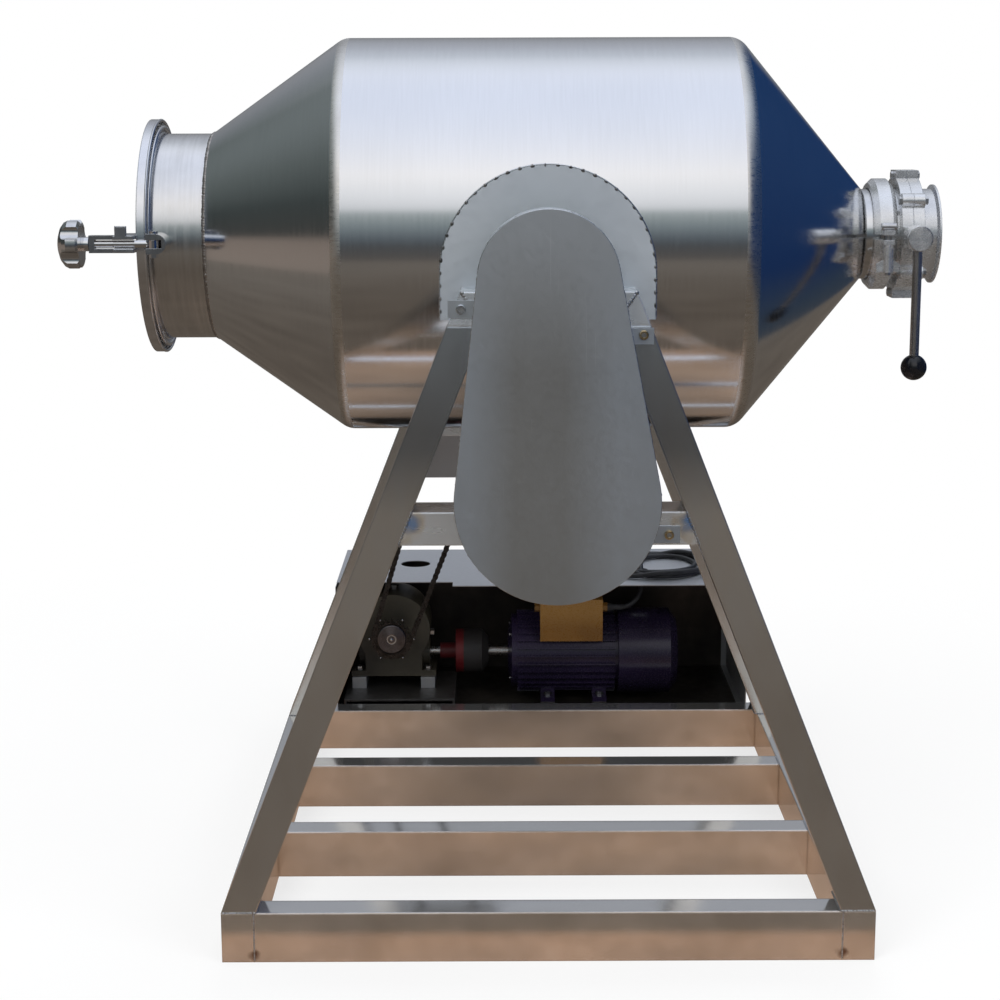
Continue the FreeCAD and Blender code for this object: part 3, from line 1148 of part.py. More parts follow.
def gearbox():
    middle_y = "gearbox_y"
    span_y = ("gearbox_y - gearbox_half_depth", "gearbox_y + gearbox_half_depth")
    worm_axis = (middle_y, worm_z)
    bottom = f"{worm_z} - worm_case_radius - 9"
    case = cylinder("wheel_case", "wheel_case_radius", "Y", span_y, drive_axis)
    lower = box("lower_case", ("-sprocket_shift - gearbox_half_width",
                               "-sprocket_shift + gearbox_half_width"),
                span_y, (bottom, drive_axis[1]))
    feet = box("gearbox_feet", ("-sprocket_shift - gearbox_foot_half", "-sprocket_shift + gearbox_foot_half"),
               span_y, (bottom, f"{bottom} + 12"))
    worm_case = cylinder("worm_case", "worm_case_radius", "X",
                         ("-sprocket_shift - worm_case_left", "-sprocket_shift + worm_case_right"), worm_axis)
    inside_y = ("gearbox_y - gearbox_half_depth + gearbox_wall",
                "gearbox_y + gearbox_half_depth - gearbox_wall")
    wheel_room = cylinder("wheel_room", "wheel_case_radius - gearbox_wall - 10", "Y", inside_y, drive_axis)
    worm_room = cylinder("worm_room", "worm_case_radius - gearbox_wall", "X",
                         ("-sprocket_shift - worm_case_left + 10", "-sprocket_shift + worm_case_right - 10"),
                         worm_axis)
    output_bore = cylinder("output_bore", "output_shaft_radius + shaft_fit", "Y",
                           ("gearbox_y - 61", "gearbox_y + 56"), drive_axis)
    input_bore = cylinder("input_bore", "worm_shaft_radius + shaft_fit", "X",
                          ("-sprocket_shift - worm_case_left + 4", "-sprocket_shift + worm_case_right + 1"),
                          worm_axis)
    holes = [cylinder(f"gearbox_foot_hole_{k}", "5", "Z", (f"{bottom} - 1", f"{bottom} + 13"), place)
             for k, place in enumerate(GEARBOX_BOLTS)]
    node("gearbox_body", cut("gearbox_case", fuse("gearbox_blank", case, lower, feet, worm_case),
                             wheel_room, worm_room, output_bore, input_bore, *holes))

    wheel = cylinder("wheel_disc", "centre_distance - 8", "Y", ("gearbox_y - 9", "gearbox_y + 9"), drive_axis)
    throat = doc.addObject("Part::Torus", "wheel_throat")
    throat.Placement = Placement(Vector(), TURN["Y"])
    link(throat, "Radius1", "centre_distance")
    link(throat, "Radius2", "worm_radius + running_gap")
    put(throat, drive_axis[0], "gearbox_y", drive_axis[1])
    shaft = cylinder("output_shaft_bar", "output_shaft_radius", "Y", ("chain_y - 10", "gearbox_y + 55"),
                     drive_axis)
    node("output_shaft", fuse("output_shaft_and_wheel", shaft, cut("worm_wheel", wheel, throat)))

    worm_bar = cylinder("worm_bar", "worm_shaft_radius", "X",
                        ("-sprocket_shift - worm_case_left + 5", "coupling_left_x + 30"), worm_axis)
    worm = cylinder("worm_thread", "worm_radius", "X", ("-sprocket_shift - 28", "-sprocket_shift + 28"),
                    worm_axis)
    node("worm_shaft", fuse("worm_with_shaft", worm_bar, worm))


def motor():
    axis = ("gearbox_y", worm_z)
    shell_outside = cylinder("shell_outside", "motor_radius", "X",
                             ("motor_left_x + 12", "motor_shell_right_x"), axis)
    shell_inside = cylinder("shell_inside", "motor_radius - 12", "X", ("motor_left_x", "motor_right_x"), axis)
    fins = []
    fin_count = 32
    for k in range(fin_count):
        angle = 360 * (k + 0.5) / fin_count
        fin = doc.addObject("Part::Box", f"fin_{k}")
        fin.Placement = Placement(Vector(), Rotation(Vector(1, 0, 0), angle))
        link(fin, "Length", "motor_shell_right_x - motor_left_x - 26")
        fin.Width = 3
        link(fin, "Height", "motor_radius + fin_height")
        side = math.radians(angle)
        put(fin, "motor_left_x + 20", f"gearbox_y - 1.5 * {math.cos(side):.5f}",
            f"{worm_z} - 1.5 * {math.sin(side):.5f}")
        fins.append(fin)
    foot_top = f"{worm_z} - motor_radius + 12"
    foot_bottom = f"{worm_z} - motor_radius - 10"
    feet = [box(f"motor_foot_{k}", span,
                ("gearbox_y - motor_foot_spread - 18", "gearbox_y + motor_foot_spread + 18"),
                (foot_bottom, foot_top)) for k, span in enumerate(MOTOR_FEET)]
    past_feet = (f"{MOTOR_FEET[0][0]} - 1", f"{MOTOR_FEET[1][1]} + 1")
    arch = box("between_feet", past_feet,
               ("gearbox_y - motor_foot_spread + 20", "gearbox_y + motor_foot_spread - 20"),
               (f"{foot_bottom} - 1", f"{foot_bottom} + 8"))
    ledges = [box(f"foot_ledge_{k}", past_feet, span, (f"{foot_bottom} + 10", f"{foot_top} + 1"))
              for k, span in enumerate((("gearbox_y - motor_foot_spread - 19",
                                         "gearbox_y - motor_foot_spread + 16"),
                                        ("gearbox_y + motor_foot_spread - 16",
                                         "gearbox_y + motor_foot_spread + 19")))]
    holes = [cylinder(f"motor_foot_hole_{k}", "5", "Z", (f"{foot_bottom} - 1", f"{foot_top}"), place)
             for k, place in enumerate(MOTOR_BOLTS)]
    shield = turned("end_shield", [
        ("motor_left_x", "motor_shaft_radius + shaft_fit"), ("motor_left_x", "42"),
        ("motor_left_x + 8", "motor_radius"), ("motor_left_x + 14", "motor_radius"),
        ("motor_left_x + 14", "motor_shaft_radius + shaft_fit")], "X", axis)
    back_shield = tube("back_shield", "motor_radius", "motor_shaft_radius + shaft_fit", "X",
                       ("motor_shell_right_x - 2", "motor_shell_right_x + 8"), axis)
    frame_part = cut("motor_frame", fuse("motor_frame_blank", shell_outside, *fins, *feet),
                     arch, *ledges, *holes, shell_inside)
    node("motor_body", fuse("motor_frame_with_shields", frame_part, shield, back_shield))

    cover = turned("fan_cover", [
        ("motor_shell_right_x + 8", "fan_cover_radius - plate"),
        ("motor_shell_right_x + 8", "fan_cover_radius"),
        ("motor_right_x - 16", "fan_cover_radius"), ("motor_right_x", "fan_cover_radius - 22"),
        ("motor_right_x", "0"), ("motor_right_x - plate", "0"),
        ("motor_right_x - plate", "fan_cover_radius - 23"),
        ("motor_right_x - 16 - plate", "fan_cover_radius - plate")], "X", axis)
    ring = tube("fan_cover_seat", "fan_cover_radius - plate", "motor_radius", "X",
                ("motor_shell_right_x + 1", "motor_shell_right_x + 8"), axis)
    lip = tube("fan_cover_lip", "fan_cover_radius", "fan_cover_radius - plate", "X",
               ("motor_shell_right_x + 1", "motor_shell_right_x + 9"), axis)
    slots = [tube(f"fan_cover_slot_{k}", f"{radius} + 2", f"{radius} - 2", "X",
                  ("motor_right_x - 5", "motor_right_x + 1"), axis)
             for k, radius in enumerate((24, 36, 48, 60))]
    spokes = [box(f"fan_cover_spoke_{k}", ("motor_right_x - plate", "motor_right_x"), y, z)
              for k, (y, z) in enumerate((
        (("gearbox_y - 64", "gearbox_y + 64"), (f"{worm_z} - 3", f"{worm_z} + 3")),
        (("gearbox_y - 3", "gearbox_y + 3"), (f"{worm_z} - 64", f"{worm_z} + 64"))))]
    node("motor_fan_cover", fuse("fan_cover_with_spokes", cut("fan_cover_slotted", cover, *slots), ring, lip,
                                 *spokes))

    core = cylinder("rotor_core", "motor_radius - 34", "X", ("motor_left_x + 54", "motor_shell_right_x - 50"),
                    axis)
    shaft = cylinder("rotor_shaft", "motor_shaft_radius", "X",
                     ("coupling_middle_x + 20", "motor_shell_right_x + 75"), axis)
    fan = cylinder("fan_disc", "fan_cover_radius - 22", "X",
                   ("motor_shell_right_x + 50", "motor_shell_right_x + 54"), axis)
    blades = [box(f"fan_blade_{k}", ("motor_shell_right_x + 26", "motor_shell_right_x + 50.5"), y, z)
              for k, (y, z) in enumerate((
                  (("gearbox_y - 66", "gearbox_y + 66"), (f"{worm_z} - 1.5", f"{worm_z} + 1.5")),
                  (("gearbox_y - 1.5", "gearbox_y + 1.5"), (f"{worm_z} - 66", f"{worm_z} + 66"))))]
    node("motor_rotor", fuse("rotor_with_fan", core, shaft, fan, *blades))

    hub = cylinder("red_hub", "17", "X", ("coupling_left_x", "coupling_middle_x - 12"), axis)
    red_flange = cylinder("red_flange", "coupling_radius", "X",
                          ("coupling_middle_x - 17", "coupling_middle_x"), axis)
    worm_bore = cylinder("red_bore", "worm_shaft_radius", "X",
                         ("coupling_left_x - 1", "coupling_left_x + 30"), axis)
    node("gearbox_coupling", cut("red_half", fuse("red_half_blank", hub, red_flange), worm_bore))
    black_flange = turned("black_half", [
        ("coupling_middle_x", "0"), ("coupling_middle_x", "coupling_radius"),
        ("coupling_right_x - 14", "coupling_radius"), ("coupling_right_x", "30"),
        ("coupling_right_x", "motor_shaft_radius"),
        ("coupling_middle_x + 20", "motor_shaft_radius"), ("coupling_middle_x + 20", "0")], "X", axis)
    node("motor_coupling", black_flange)

    left, right = "motor_left_x + 68", "motor_left_x + 200"
    front, rear = "gearbox_y - 85", "gearbox_y + 20"
    bottom, top = f"{worm_z} + 41.7", f"{worm_z} + 131.7"
    box_blank = box("terminal_block", (left, right), (front, rear), (bottom, top))
    box_inside = box("terminal_inside", (f"{left} + 4", f"{right} - 4"), (f"{front} + 4", f"{rear} - 4"),
                     (f"{bottom} + 46", f"{top} - 4"))
    saddle = cylinder("terminal_saddle", "motor_radius + fin_height + 0.3", "X",
                      (f"{left} - 4", f"{right} + 4"), axis)
    glands = [hexagon(f"gland_{k}", "10", "X", span, ("gearbox_y - 35", f"{worm_z} + 103.7"))
              for k, span in enumerate(((f"{left} - 11", f"{left} + 1"), (right, f"{right} + 12")))]
    node("terminal_box", cut("terminal_case", box_blank, saddle, box_inside), *glands)


def drive_bolts(bearing_bolt_list):
    node("bearing_bolts", *bearing_bolt_list)
    case_bottom = f"{worm_z} - worm_case_radius - 9"
    foot_bottom = f"{worm_z} - motor_radius - 10"
    pieces = [bolt_with_nut(f"gearbox_bolt_{k}", "5", *place, "channel_top - 5", f"{case_bottom} + 12")
              for k, place in enumerate(GEARBOX_BOLTS)]
    for k, place in enumerate(MOTOR_BOLTS):
        foot_top = f"{foot_bottom} + 10"
        pieces.append(fuse(f"motor_bolt_{k}",
                           cylinder(f"motor_bolt_{k}_shank", "4.7", "Z", ("pan_height", foot_top), place),
                           hexagon(f"motor_bolt_{k}_head", "8.5", "Z", (foot_top, f"{foot_top} + 7"), place)))
    vent_z = f"{drive_axis[1]} + wheel_case_radius"
    pieces.append(hexagon("vent_plug", "9", "Z", (vent_z, f"{vent_z} + 8"), ("-sprocket_shift", "gearbox_y")))
    case_side = "-sprocket_shift + wheel_case_radius"
    pieces.append(hexagon("side_plug", "7", "X", (case_side, f"{case_side} + 8"),
                          ("gearbox_y - 35", "drive_axis_height - 9")))
    node("drive_bolts", *pieces)


# The power cable's way from its gland up through the housing's top, chosen by eye: X, Y from the
# motor's middle, and height above the floor.
CABLE_ROUTE = (
    (158, -35, 250),
    (203, -35, 250),
    (230, -24, 274),
    (232, 0, 304),
    (234, 33, 323),
    (235, 59, 323),
)


def rounded_wire(points):
    """Straight runs joined by tangent arcs, with the arcs' radii printed."""
    edges, radii = [], []
    start = points[0]
    for before, corner, after in zip(points, points[1:], points[2:]):
        to_before, to_after = before - corner, after - corner
        half_turn = (math.pi - to_before.getAngle(to_after)) / 2
        trim = 0.45 * min(to_before.Length, to_after.Length)
        radii.append(trim / math.tan(half_turn))
        to_before.normalize()
        to_after.normalize()
        first, last = corner + to_before * trim, corner + to_after * trim
        bisector = (to_before + to_after).normalize()
        centre = corner + bisector * (radii[-1] / math.cos(half_turn))
        middle = centre - bisector * radii[-1]
        edges.append(Part.makeLine(start, first))
        edges.append(Part.Arc(first, middle, last).toShape())
        start = last
    edges.append(Part.makeLine(start, points[-1]))
    print("cable bend radii", [round(radius, 1) for radius in radii])
    return Part.Wire(edges)


def power_cable():
    points = [Vector(x, size("gearbox_y") + y, z) for x, y, z in CABLE_ROUTE]
    route = rounded_wire(points)
    radius = size("cable_radius")
    ring = Part.Wire([Part.makeCircle(radius, points[0], points[1] - points[0])])
    lead = doc.addObject("Part::Feature", "cable_tube")
    lead.Shape = route.makePipeShell([ring], True, False)
    section = math.pi * radius ** 2
    print("cable tube volume", round(lead.Shape.Volume), "section by length", round(section * route.Length))
    print("cable tube length", round(route.Length))
    node("cable_lead", lead)
    plate_top = "cover_height + plate"
    node("cable_coil", tube("coil_ring", "coil_outer_radius", "coil_inner_radius", "Z",
                            (plate_top, f"{plate_top} + coil_height"), ("coil_x", "coil_y")))


def sprockets():
    node("drum_sprocket", sprocket("drum_sprocket", "drum_sprocket_teeth", ("0", "axis_height"),
                                   "shaft_radius",
                                   "shaft_radius + 12", ("chain_y - 20", "chain_y + 12")))
    node("drive_sprocket", sprocket("drive_sprocket", "drive_sprocket_teeth", drive_axis,
                                    "output_shaft_radius",
                                    "output_shaft_radius + 9", ("chain_y - 8", "chain_y + 30")))


base_rails()
bearing_bolt_list = bearings()
a_frames()
drum_shell()
trunnions()
lid()
swing_clamp("front", -1, "0", 0)
swing_clamp("rear", 1, "rear_clamp_slack", -size("rear_clamp_open_angle"))
clevises()
valve()
valve_clamp()
front_guards()
sprockets()
chain()
chain_guard()
drive_housing()
drive_mounts()
gearbox()
motor()
drive_bolts(bearing_bolt_list)
power_cable()

doc.recompute()
wrong = [item.Name for item in doc.Objects if {"Invalid", "Error"} & set(item.State)]
wrong += [item.Name for item in doc.Objects if hasattr(item, "Shape") and item.isDerivedFrom("Part::Feature")
          and (item.Shape.isNull() or not item.Shape.isValid())]
if wrong:
    raise RuntimeError(f"not built: {wrong}")

os.makedirs("parts", exist_ok=True)
for item in NODES:
    item.Shape.exportStep(f"parts/{item.Label}.step")
    print(item.Label, len(item.Shape.Solids), round(item.Shape.Volume / 1000, 1))
print(len(NODES), "nodes")
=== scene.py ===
import math
import random

import bmesh
import bpy
from mathutils import Matrix, Vector


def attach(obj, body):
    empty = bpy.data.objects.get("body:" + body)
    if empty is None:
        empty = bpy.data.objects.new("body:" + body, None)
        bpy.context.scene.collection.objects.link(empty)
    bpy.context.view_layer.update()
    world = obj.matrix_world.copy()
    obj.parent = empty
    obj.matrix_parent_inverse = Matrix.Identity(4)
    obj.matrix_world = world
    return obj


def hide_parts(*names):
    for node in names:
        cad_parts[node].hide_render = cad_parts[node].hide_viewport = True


# Tumbler blender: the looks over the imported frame. Metres, +Z up, the floor at z = 0.

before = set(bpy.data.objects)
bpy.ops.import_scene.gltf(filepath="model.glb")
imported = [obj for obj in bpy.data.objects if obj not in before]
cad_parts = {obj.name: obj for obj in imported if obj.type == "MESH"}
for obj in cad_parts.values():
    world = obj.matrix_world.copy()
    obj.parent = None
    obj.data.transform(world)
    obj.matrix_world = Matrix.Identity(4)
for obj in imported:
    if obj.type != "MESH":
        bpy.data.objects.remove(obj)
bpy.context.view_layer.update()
chance = random.Random(7)

# The drum's middle, on the axis it turns about
AXIS = Vector((0.0548, -0.178, 1.080))

# Front and back faces of the two A-frames, along Y
FRONT_FRAME = (-0.735, -0.655)
REAR_FRAME = (0.299, 0.379)

# The base's cross rails
CROSS_RAIL_HALF = 0.453
CROSS_RAIL_PITCH = (1.114 - 0.050) / 3
RAIL_THICKNESS = 0.05

# The drive behind the machine
DRIVE_SHAFT = Vector((-0.2432, 0.557, 0.2063))
MOTOR_SHAFT = Vector((-0.0048, 0.557, 0.1463))
CHAIN_Y = 0.432

# The valve's stem, and the front guard's face
STEM_X = 0.6748
GUARD_Y = -0.798


# The camera

def make_camera():
    place = Vector((-0.02256, -3.63579, 1.28041))
    yaw, pitch, roll = math.radians(0.0995), math.radians(10.849), math.radians(-0.187)
    ahead = Vector((math.sin(yaw) * math.cos(pitch), math.cos(yaw) * math.cos(pitch), -math.sin(pitch)))
    level = Vector((math.cos(yaw), -math.sin(yaw), 0))
    above = level.cross(ahead)
    right = math.cos(roll) * level + math.sin(roll) * above
    up = right.cross(ahead)
    data = bpy.data.cameras.new("camera")
    data.lens, data.sensor_width = 72.12, 36
    camera = bpy.data.objects.new("camera", data)
    camera.matrix_world = Matrix((
        (right.x, up.x, -ahead.x, place.x),
        (right.y, up.y, -ahead.y, place.y),
        (right.z, up.z, -ahead.z, place.z),
        (0, 0, 0, 1),
    ))
    bpy.context.scene.collection.objects.link(camera)
    bpy.context.scene.camera = camera


# Node helpers for materials

class Nodes:
    """Short ways to add nodes to a tree."""

    def __init__(self, tree):
        self.tree = tree

    def node(self, kind, **settings):
        made = self.tree.nodes.new(kind)
        for key, value in settings.items():
            setattr(made, key, value)
        return made

    def join(self, source, target):
        self.tree.links.new(source, target)

    def ramp(self, factor, *stops):
        """Colours along a factor, from (position, colour) stops."""
        ramp = self.node("ShaderNodeValToRGB")
        bands = ramp.color_ramp.elements
        while len(bands) < len(stops):
            bands.new(0.5)
        for band, (position, colour) in zip(bands, stops):
            band.position = position
            band.color = (*colour, 1)
        self.join(factor, ramp.inputs["Fac"])
        return ramp.outputs["Color"]

    def spread(self, factor, low, high, start=0.3, end=0.7):
        """Goes from low to high as the factor goes from start to end."""
        made = self.node("ShaderNodeMapRange")
        for key, value in (("From Min", start), ("From Max", end), ("To Min", low), ("To Max", high)):
            made.inputs[key].default_value = value
        self.join(factor, made.inputs["Value"])
        return made.outputs["Result"]

    def mix(self, factor, first, second, blend="MIX"):
        made = self.node("ShaderNodeMix", data_type="RGBA", blend_type=blend)
        for key, value in (("Factor", factor), ("A", first), ("B", second)):
            socket = next(item for item in made.inputs if item.name == key and (
                item.type == "RGBA" or key == "Factor" and item.type == "VALUE"))
            if isinstance(value, bpy.types.NodeSocket):
                self.join(value, socket)
            elif key == "Factor":
                socket.default_value = value
            else:
                socket.default_value = (*value, 1)
        return next(item for item in made.outputs if item.type == "RGBA")

    def larger(self, first, second):
        made = self.node("ShaderNodeMath", operation="MAXIMUM")
        self.join(first, made.inputs[0])
        self.join(second, made.inputs[1])
        return made.outputs[0]

    def blend(self, factor, first, second):
        """One shader where the factor is none, the other where it is one."""
        made = self.node("ShaderNodeMixShader")
        for number, source in enumerate((factor, first, second)):
            self.join(source, made.inputs[number])
        return made.outputs[0]

    def camera_sees(self):
        """One for rays from the camera, straight or through glass."""
        path = self.node("ShaderNodeLightPath")
        return self.larger(path.outputs["Is Camera Ray"], path.outputs["Is Transmission Ray"])


class Paint(Nodes):
    """A new material with its Principled shader."""

    def __init__(self, name):
        self.material = bpy.data.materials.new(name)
        self.material.use_nodes = True
        super().__init__(self.material.node_tree)
        self.shader = self.tree.nodes["Principled BSDF"]
        self.place = self.node("ShaderNodeTexCoord").outputs["Object"]

    def set(self, **values):
        for key, value in values.items():
            self.shader.inputs[key.replace("_", " ")].default_value = value

    def noise(self, scale, detail=3, stretch=(1, 1, 1), turn=(0, 0, 0)):
        mapping = self.node("ShaderNodeMapping")
        mapping.inputs["Scale"].default_value = stretch
        mapping.inputs["Rotation"].default_value = turn
        self.join(self.place, mapping.inputs["Vector"])
        noise = self.node("ShaderNodeTexNoise")
        noise.inputs["Scale"].default_value = scale
        noise.inputs["Detail"].default_value = detail
        self.join(mapping.outputs["Vector"], noise.inputs["Vector"])
        return noise.outputs["Fac"]

    def near(self, spots, radius):
        """One near any of the spots, falling to zero at the radius, with a ragged edge."""
        ragged = self.spread(self.noise(60, 4), -0.35 * radius, 0.35 * radius)
        total = None
        for spot in spots:
            reach = self.node("ShaderNodeVectorMath", operation="DISTANCE")
            reach.inputs[1].default_value = spot
            self.join(self.place, reach.inputs[0])
            blurred = self.node("ShaderNodeMath", operation="ADD")
            self.join(reach.outputs["Value"], blurred.inputs[0])
            self.join(ragged, blurred.inputs[1])
            share = self.spread(blurred.outputs[0], 1, 0, 0.25 * radius, radius)
            total = share if total is None else self.larger(total, share)
        return total

    def facing(self, start, end):
        """Goes from none to one as the surface's upward lean goes from start to end."""
        parts = self.node("ShaderNodeSeparateXYZ")
        self.join(self.node("ShaderNodeNewGeometry").outputs["Normal"], parts.inputs["Vector"])
        return self.spread(parts.outputs["Z"], 0, 1, start, end)

    def across(self, axis, start, end):
        """Goes from none to one between two places along an axis."""
        parts = self.node("ShaderNodeSeparateXYZ")
        self.join(self.place, parts.inputs["Vector"])
        return self.spread(parts.outputs[axis], 0, 1, start, end)

    def finish_with(self, shader):
        """Shows this shader in place of the Principled one."""
        self.join(shader, self.tree.nodes["Material Output"].inputs["Surface"])

    def colour(self, source):
        self.join(source, self.shader.inputs["Base Color"])

    def rough(self, source):
        self.join(source, self.shader.inputs["Roughness"])

    def bump(self, height, strength, round_edges=0):
        """Small relief by a height, over edges rounded to a radius."""
        made = self.node("ShaderNodeBump")
        made.inputs["Strength"].default_value = strength
        made.inputs["Distance"].default_value = 0.0005
        self.join(height, made.inputs["Height"])
        if round_edges:
            edge = self.node("ShaderNodeBevel", samples=4)
            edge.inputs["Radius"].default_value = round_edges
            self.join(edge.outputs["Normal"], made.inputs["Normal"])
        self.join(made.outputs["Normal"], self.shader.inputs["Normal"])


def steel(name, bright, dull, roughness, grain=(1, 1, 1), grain_scale=60, grain_bump=0.05, blotch=3.0,
          round_edges=0, metallic=1.0, top=None, under=None, bands=(), stains=()):
    """Stainless steel with a brushed grain, cloudy patches and a slightly uneven polish.

    top and under are the colours of surfaces that face up and down: a painted reflection on faces that look
    up and painted shade on faces that look down;
    bands are (colour, axis, start, end), used for painted reflection bands by height on the legs and top
    bars; stains are (colour, radius, spots).
    """
    paint = Paint(name)
    paint.set(Metallic=metallic)
    clouds = paint.noise(blotch, 5)
    lines = paint.noise(grain_scale, 4, stretch=grain)
    tone = paint.ramp(clouds, (0.32, dull), (0.62, bright))
    tone = paint.mix(0.35, tone, paint.ramp(lines, (0.35, dull), (0.65, bright)))
    # painted reflection: faces that look up take the top colour
    if top:
        tone = paint.mix(paint.facing(0.5, 0.8), tone, top)
    # painted shade: faces that look down take the under colour
    if under:
        tone = paint.mix(paint.facing(-0.74, -0.93), tone, under)
    for colour, axis, start, end in bands:
        tone = paint.mix(paint.across(axis, start, end), tone, colour)
    for colour, radius, spots in stains:
        tone = paint.mix(paint.near(spots, radius), tone, colour)
    paint.colour(tone)
    paint.rough(paint.spread(lines, roughness * 0.8, roughness * 1.3))
    paint.bump(lines, grain_bump, round_edges=round_edges)
    return paint.material


def wall_steel():
    """The housing's sheet: stainless outside, dark inside as painted shade where the closed housing keeps
    light out, told apart by place.
    """
    paint = Paint("wall_steel")
    paint.set(Metallic=0.8)
    outside = paint.across("X", -0.3590, -0.3596)
    for axis, start, end in (("X", 0.4886, 0.4892), ("Y", 0.7968, 0.7974)):
        outside = paint.larger(outside, paint.across(axis, start, end))
    # painted shade: the inside of the walls and floor is near-black, standing for the shade in the housing
    dark = paint.ramp(paint.noise(12, 5), (0.35, (0.055, 0.048, 0.043)), (0.65, (0.105, 0.092, 0.080)))
    light = paint.ramp(paint.noise(4, 5), (0.35, (0.52, 0.53, 0.54)), (0.65, (0.62, 0.63, 0.64)))
    paint.colour(paint.mix(outside, dark, light))
    lines = paint.noise(60, 4, stretch=(1, 1, 0.2))
    paint.rough(paint.spread(lines, 0.36, 0.52))
    paint.bump(lines, 0.03)
    return paint.material


def guard_sheet():
    """Matt sheet with painted light: a paler bluish tone towards both long edges and the top, greyer along
    the middle.
    """
    paint = Paint("guard_steel")
    paint.set(Metallic=0.97)
    middle = 0.050
    clouds = paint.noise(2.2, 5)
    # painted light: paler bluish towards both long edges
    sides = paint.larger(paint.across("X", middle - 0.045, middle - 0.110),
                         paint.across("X", middle + 0.025, middle + 0.105))
    grey = paint.ramp(clouds, (0.35, (0.46, 0.455, 0.435)), (0.65, (0.54, 0.54, 0.525)))
    blue = paint.ramp(clouds, (0.35, (0.64, 0.69, 0.74)), (0.65, (0.70, 0.74, 0.78)))
    tone = paint.mix(sides, grey, blue)
    # painted light: paler towards the top
    tone = paint.mix(paint.across("Z", 0.92, 1.12), tone, (0.74, 0.77, 0.79))
    scratch = paint.noise(3, 6, stretch=(60, 1, 1.5), turn=(0, 0.5, 0))
    paint.colour(paint.mix(paint.spread(scratch, 0, 0.5, 0.70, 0.76), tone, (0.85, 0.87, 0.88)))
    fine = paint.noise(160, 3)
    paint.rough(paint.spread(fine, 0.40, 0.50))
    paint.bump(fine, 0.004, round_edges=0.0008)
    return paint.material


def coat(name, light, dark, roughness, orange_peel=0.05, scale=8.0, round_edges=0.0008, high=None):
    """A sprayed or moulded surface: patchy tone, orange peel, rounded edges.

    high is (colour, from, to), a change of colour by height.
    """
    paint = Paint(name)
    tone = paint.ramp(paint.noise(scale, 5), (0.35, dark), (0.65, light))
    if high:
        colour, start, end = high
        tone = paint.mix(paint.across("Z", start, end), tone, colour)
    paint.colour(tone)
    fine = paint.noise(380, 2)
    paint.rough(paint.spread(fine, roughness * 0.85, roughness * 1.2))
    paint.bump(fine, orange_peel, round_edges=round_edges)
    return paint.material


# Lights, sky and floor

def light_sky():
    """White for the camera and glass, a soft even light, and a plain yard for the metal to mirror."""
    world = bpy.data.worlds.new("studio")
    world.use_nodes = True
    bpy.context.scene.world = world
    sky = Nodes(world.node_tree)
    sky.tree.nodes.clear()

    way = sky.node("ShaderNodeSeparateXYZ")
    sky.join(sky.node("ShaderNodeTexCoord").outputs["Generated"], way.inputs["Vector"])
    height = sky.spread(way.outputs["Z"], 0, 1, -0.5, 1.0)
    open_sky = sky.ramp(height, (0.0, (0.16, 0.12, 0.09)), (0.30, (0.07, 0.075, 0.08)),
                        (0.345, (0.10, 0.12, 0.14)), (0.42, (0.20, 0.24, 0.26)),
                        (0.50, (0.33, 0.38, 0.39)), (0.518, (0.40, 0.45, 0.46)),
                        (0.538, (0.76, 0.78, 0.82)), (0.62, (0.92, 0.94, 0.98)), (0.74, (1.08, 1.08, 1.11)),
                        (0.92, (0.92, 0.97, 1.10)), (1.0, (0.86, 0.93, 1.10)))
    left_trees = sky.ramp(height, (0.0, (0.27, 0.23, 0.20)), (0.32, (0.23, 0.19, 0.165)),
                          (0.35, (0.05, 0.052, 0.05)), (0.50, (0.045, 0.055, 0.055)),
                          (0.66, (0.11, 0.13, 0.13)), (0.80, (0.20, 0.23, 0.24)),
                          (0.86, (0.30, 0.35, 0.37)), (1.0, (0.70, 0.77, 0.84)))
    right_wall = sky.ramp(height, (0.0, (0.08, 0.08, 0.07)), (0.10, (0.03, 0.045, 0.07)),
                          (0.22, (0.008, 0.026, 0.090)), (0.55, (0.012, 0.040, 0.125)),
                          (0.75, (0.020, 0.060, 0.160)), (1.0, (0.8, 0.88, 1.0)))
    far_side = sky.ramp(height, (0.0, (0.16, 0.12, 0.09)), (0.33, (0.10, 0.10, 0.10)),
                        (0.36, (0.16, 0.17, 0.18)), (0.50, (0.26, 0.27, 0.29)),
                        (0.75, (0.46, 0.49, 0.56)), (1.0, (0.80, 0.88, 1.0)))
    yard = sky.mix(sky.spread(way.outputs["Y"], 0, 1, 0.30, 0.62), open_sky, far_side)
    yard = sky.mix(sky.spread(way.outputs["X"], 0, 1, -0.25, -0.62), yard, left_trees)
    yard = sky.mix(sky.spread(way.outputs["X"], 0, 1, 0.24, 0.38), yard, right_wall)

    mirror = sky.node("ShaderNodeBackground")
    sky.join(yard, mirror.inputs["Color"])
    plain = sky.node("ShaderNodeBackground")
    plain.inputs["Color"].default_value = (0.96, 0.98, 1.0, 1)
    plain.inputs["Strength"].default_value = 0.62
    white = sky.node("ShaderNodeBackground")
    white.inputs["Color"].default_value = (1, 1, 1, 1)
    mirrored = sky.node("ShaderNodeLightPath").outputs["Is Glossy Ray"]
    lit = sky.blend(mirrored, plain.outputs[0], mirror.outputs[0])
    shown = sky.blend(sky.camera_sees(), lit, white.outputs[0])
    sky.join(shown, sky.node("ShaderNodeOutputWorld").inputs["Surface"])


def soft_lamp(name, place, aim, width, power):
    data = bpy.data.lights.new(name, "AREA")
    data.shape, data.size, data.energy = "DISK", width, power
    lamp = bpy.data.objects.new(name, data)
    lamp.location = place
    lamp.rotation_euler = (Vector(aim) - Vector(place)).to_track_quat("-Z", "Y").to_euler()
    lamp.visible_glossy = False
    bpy.context.scene.collection.objects.link(lamp)


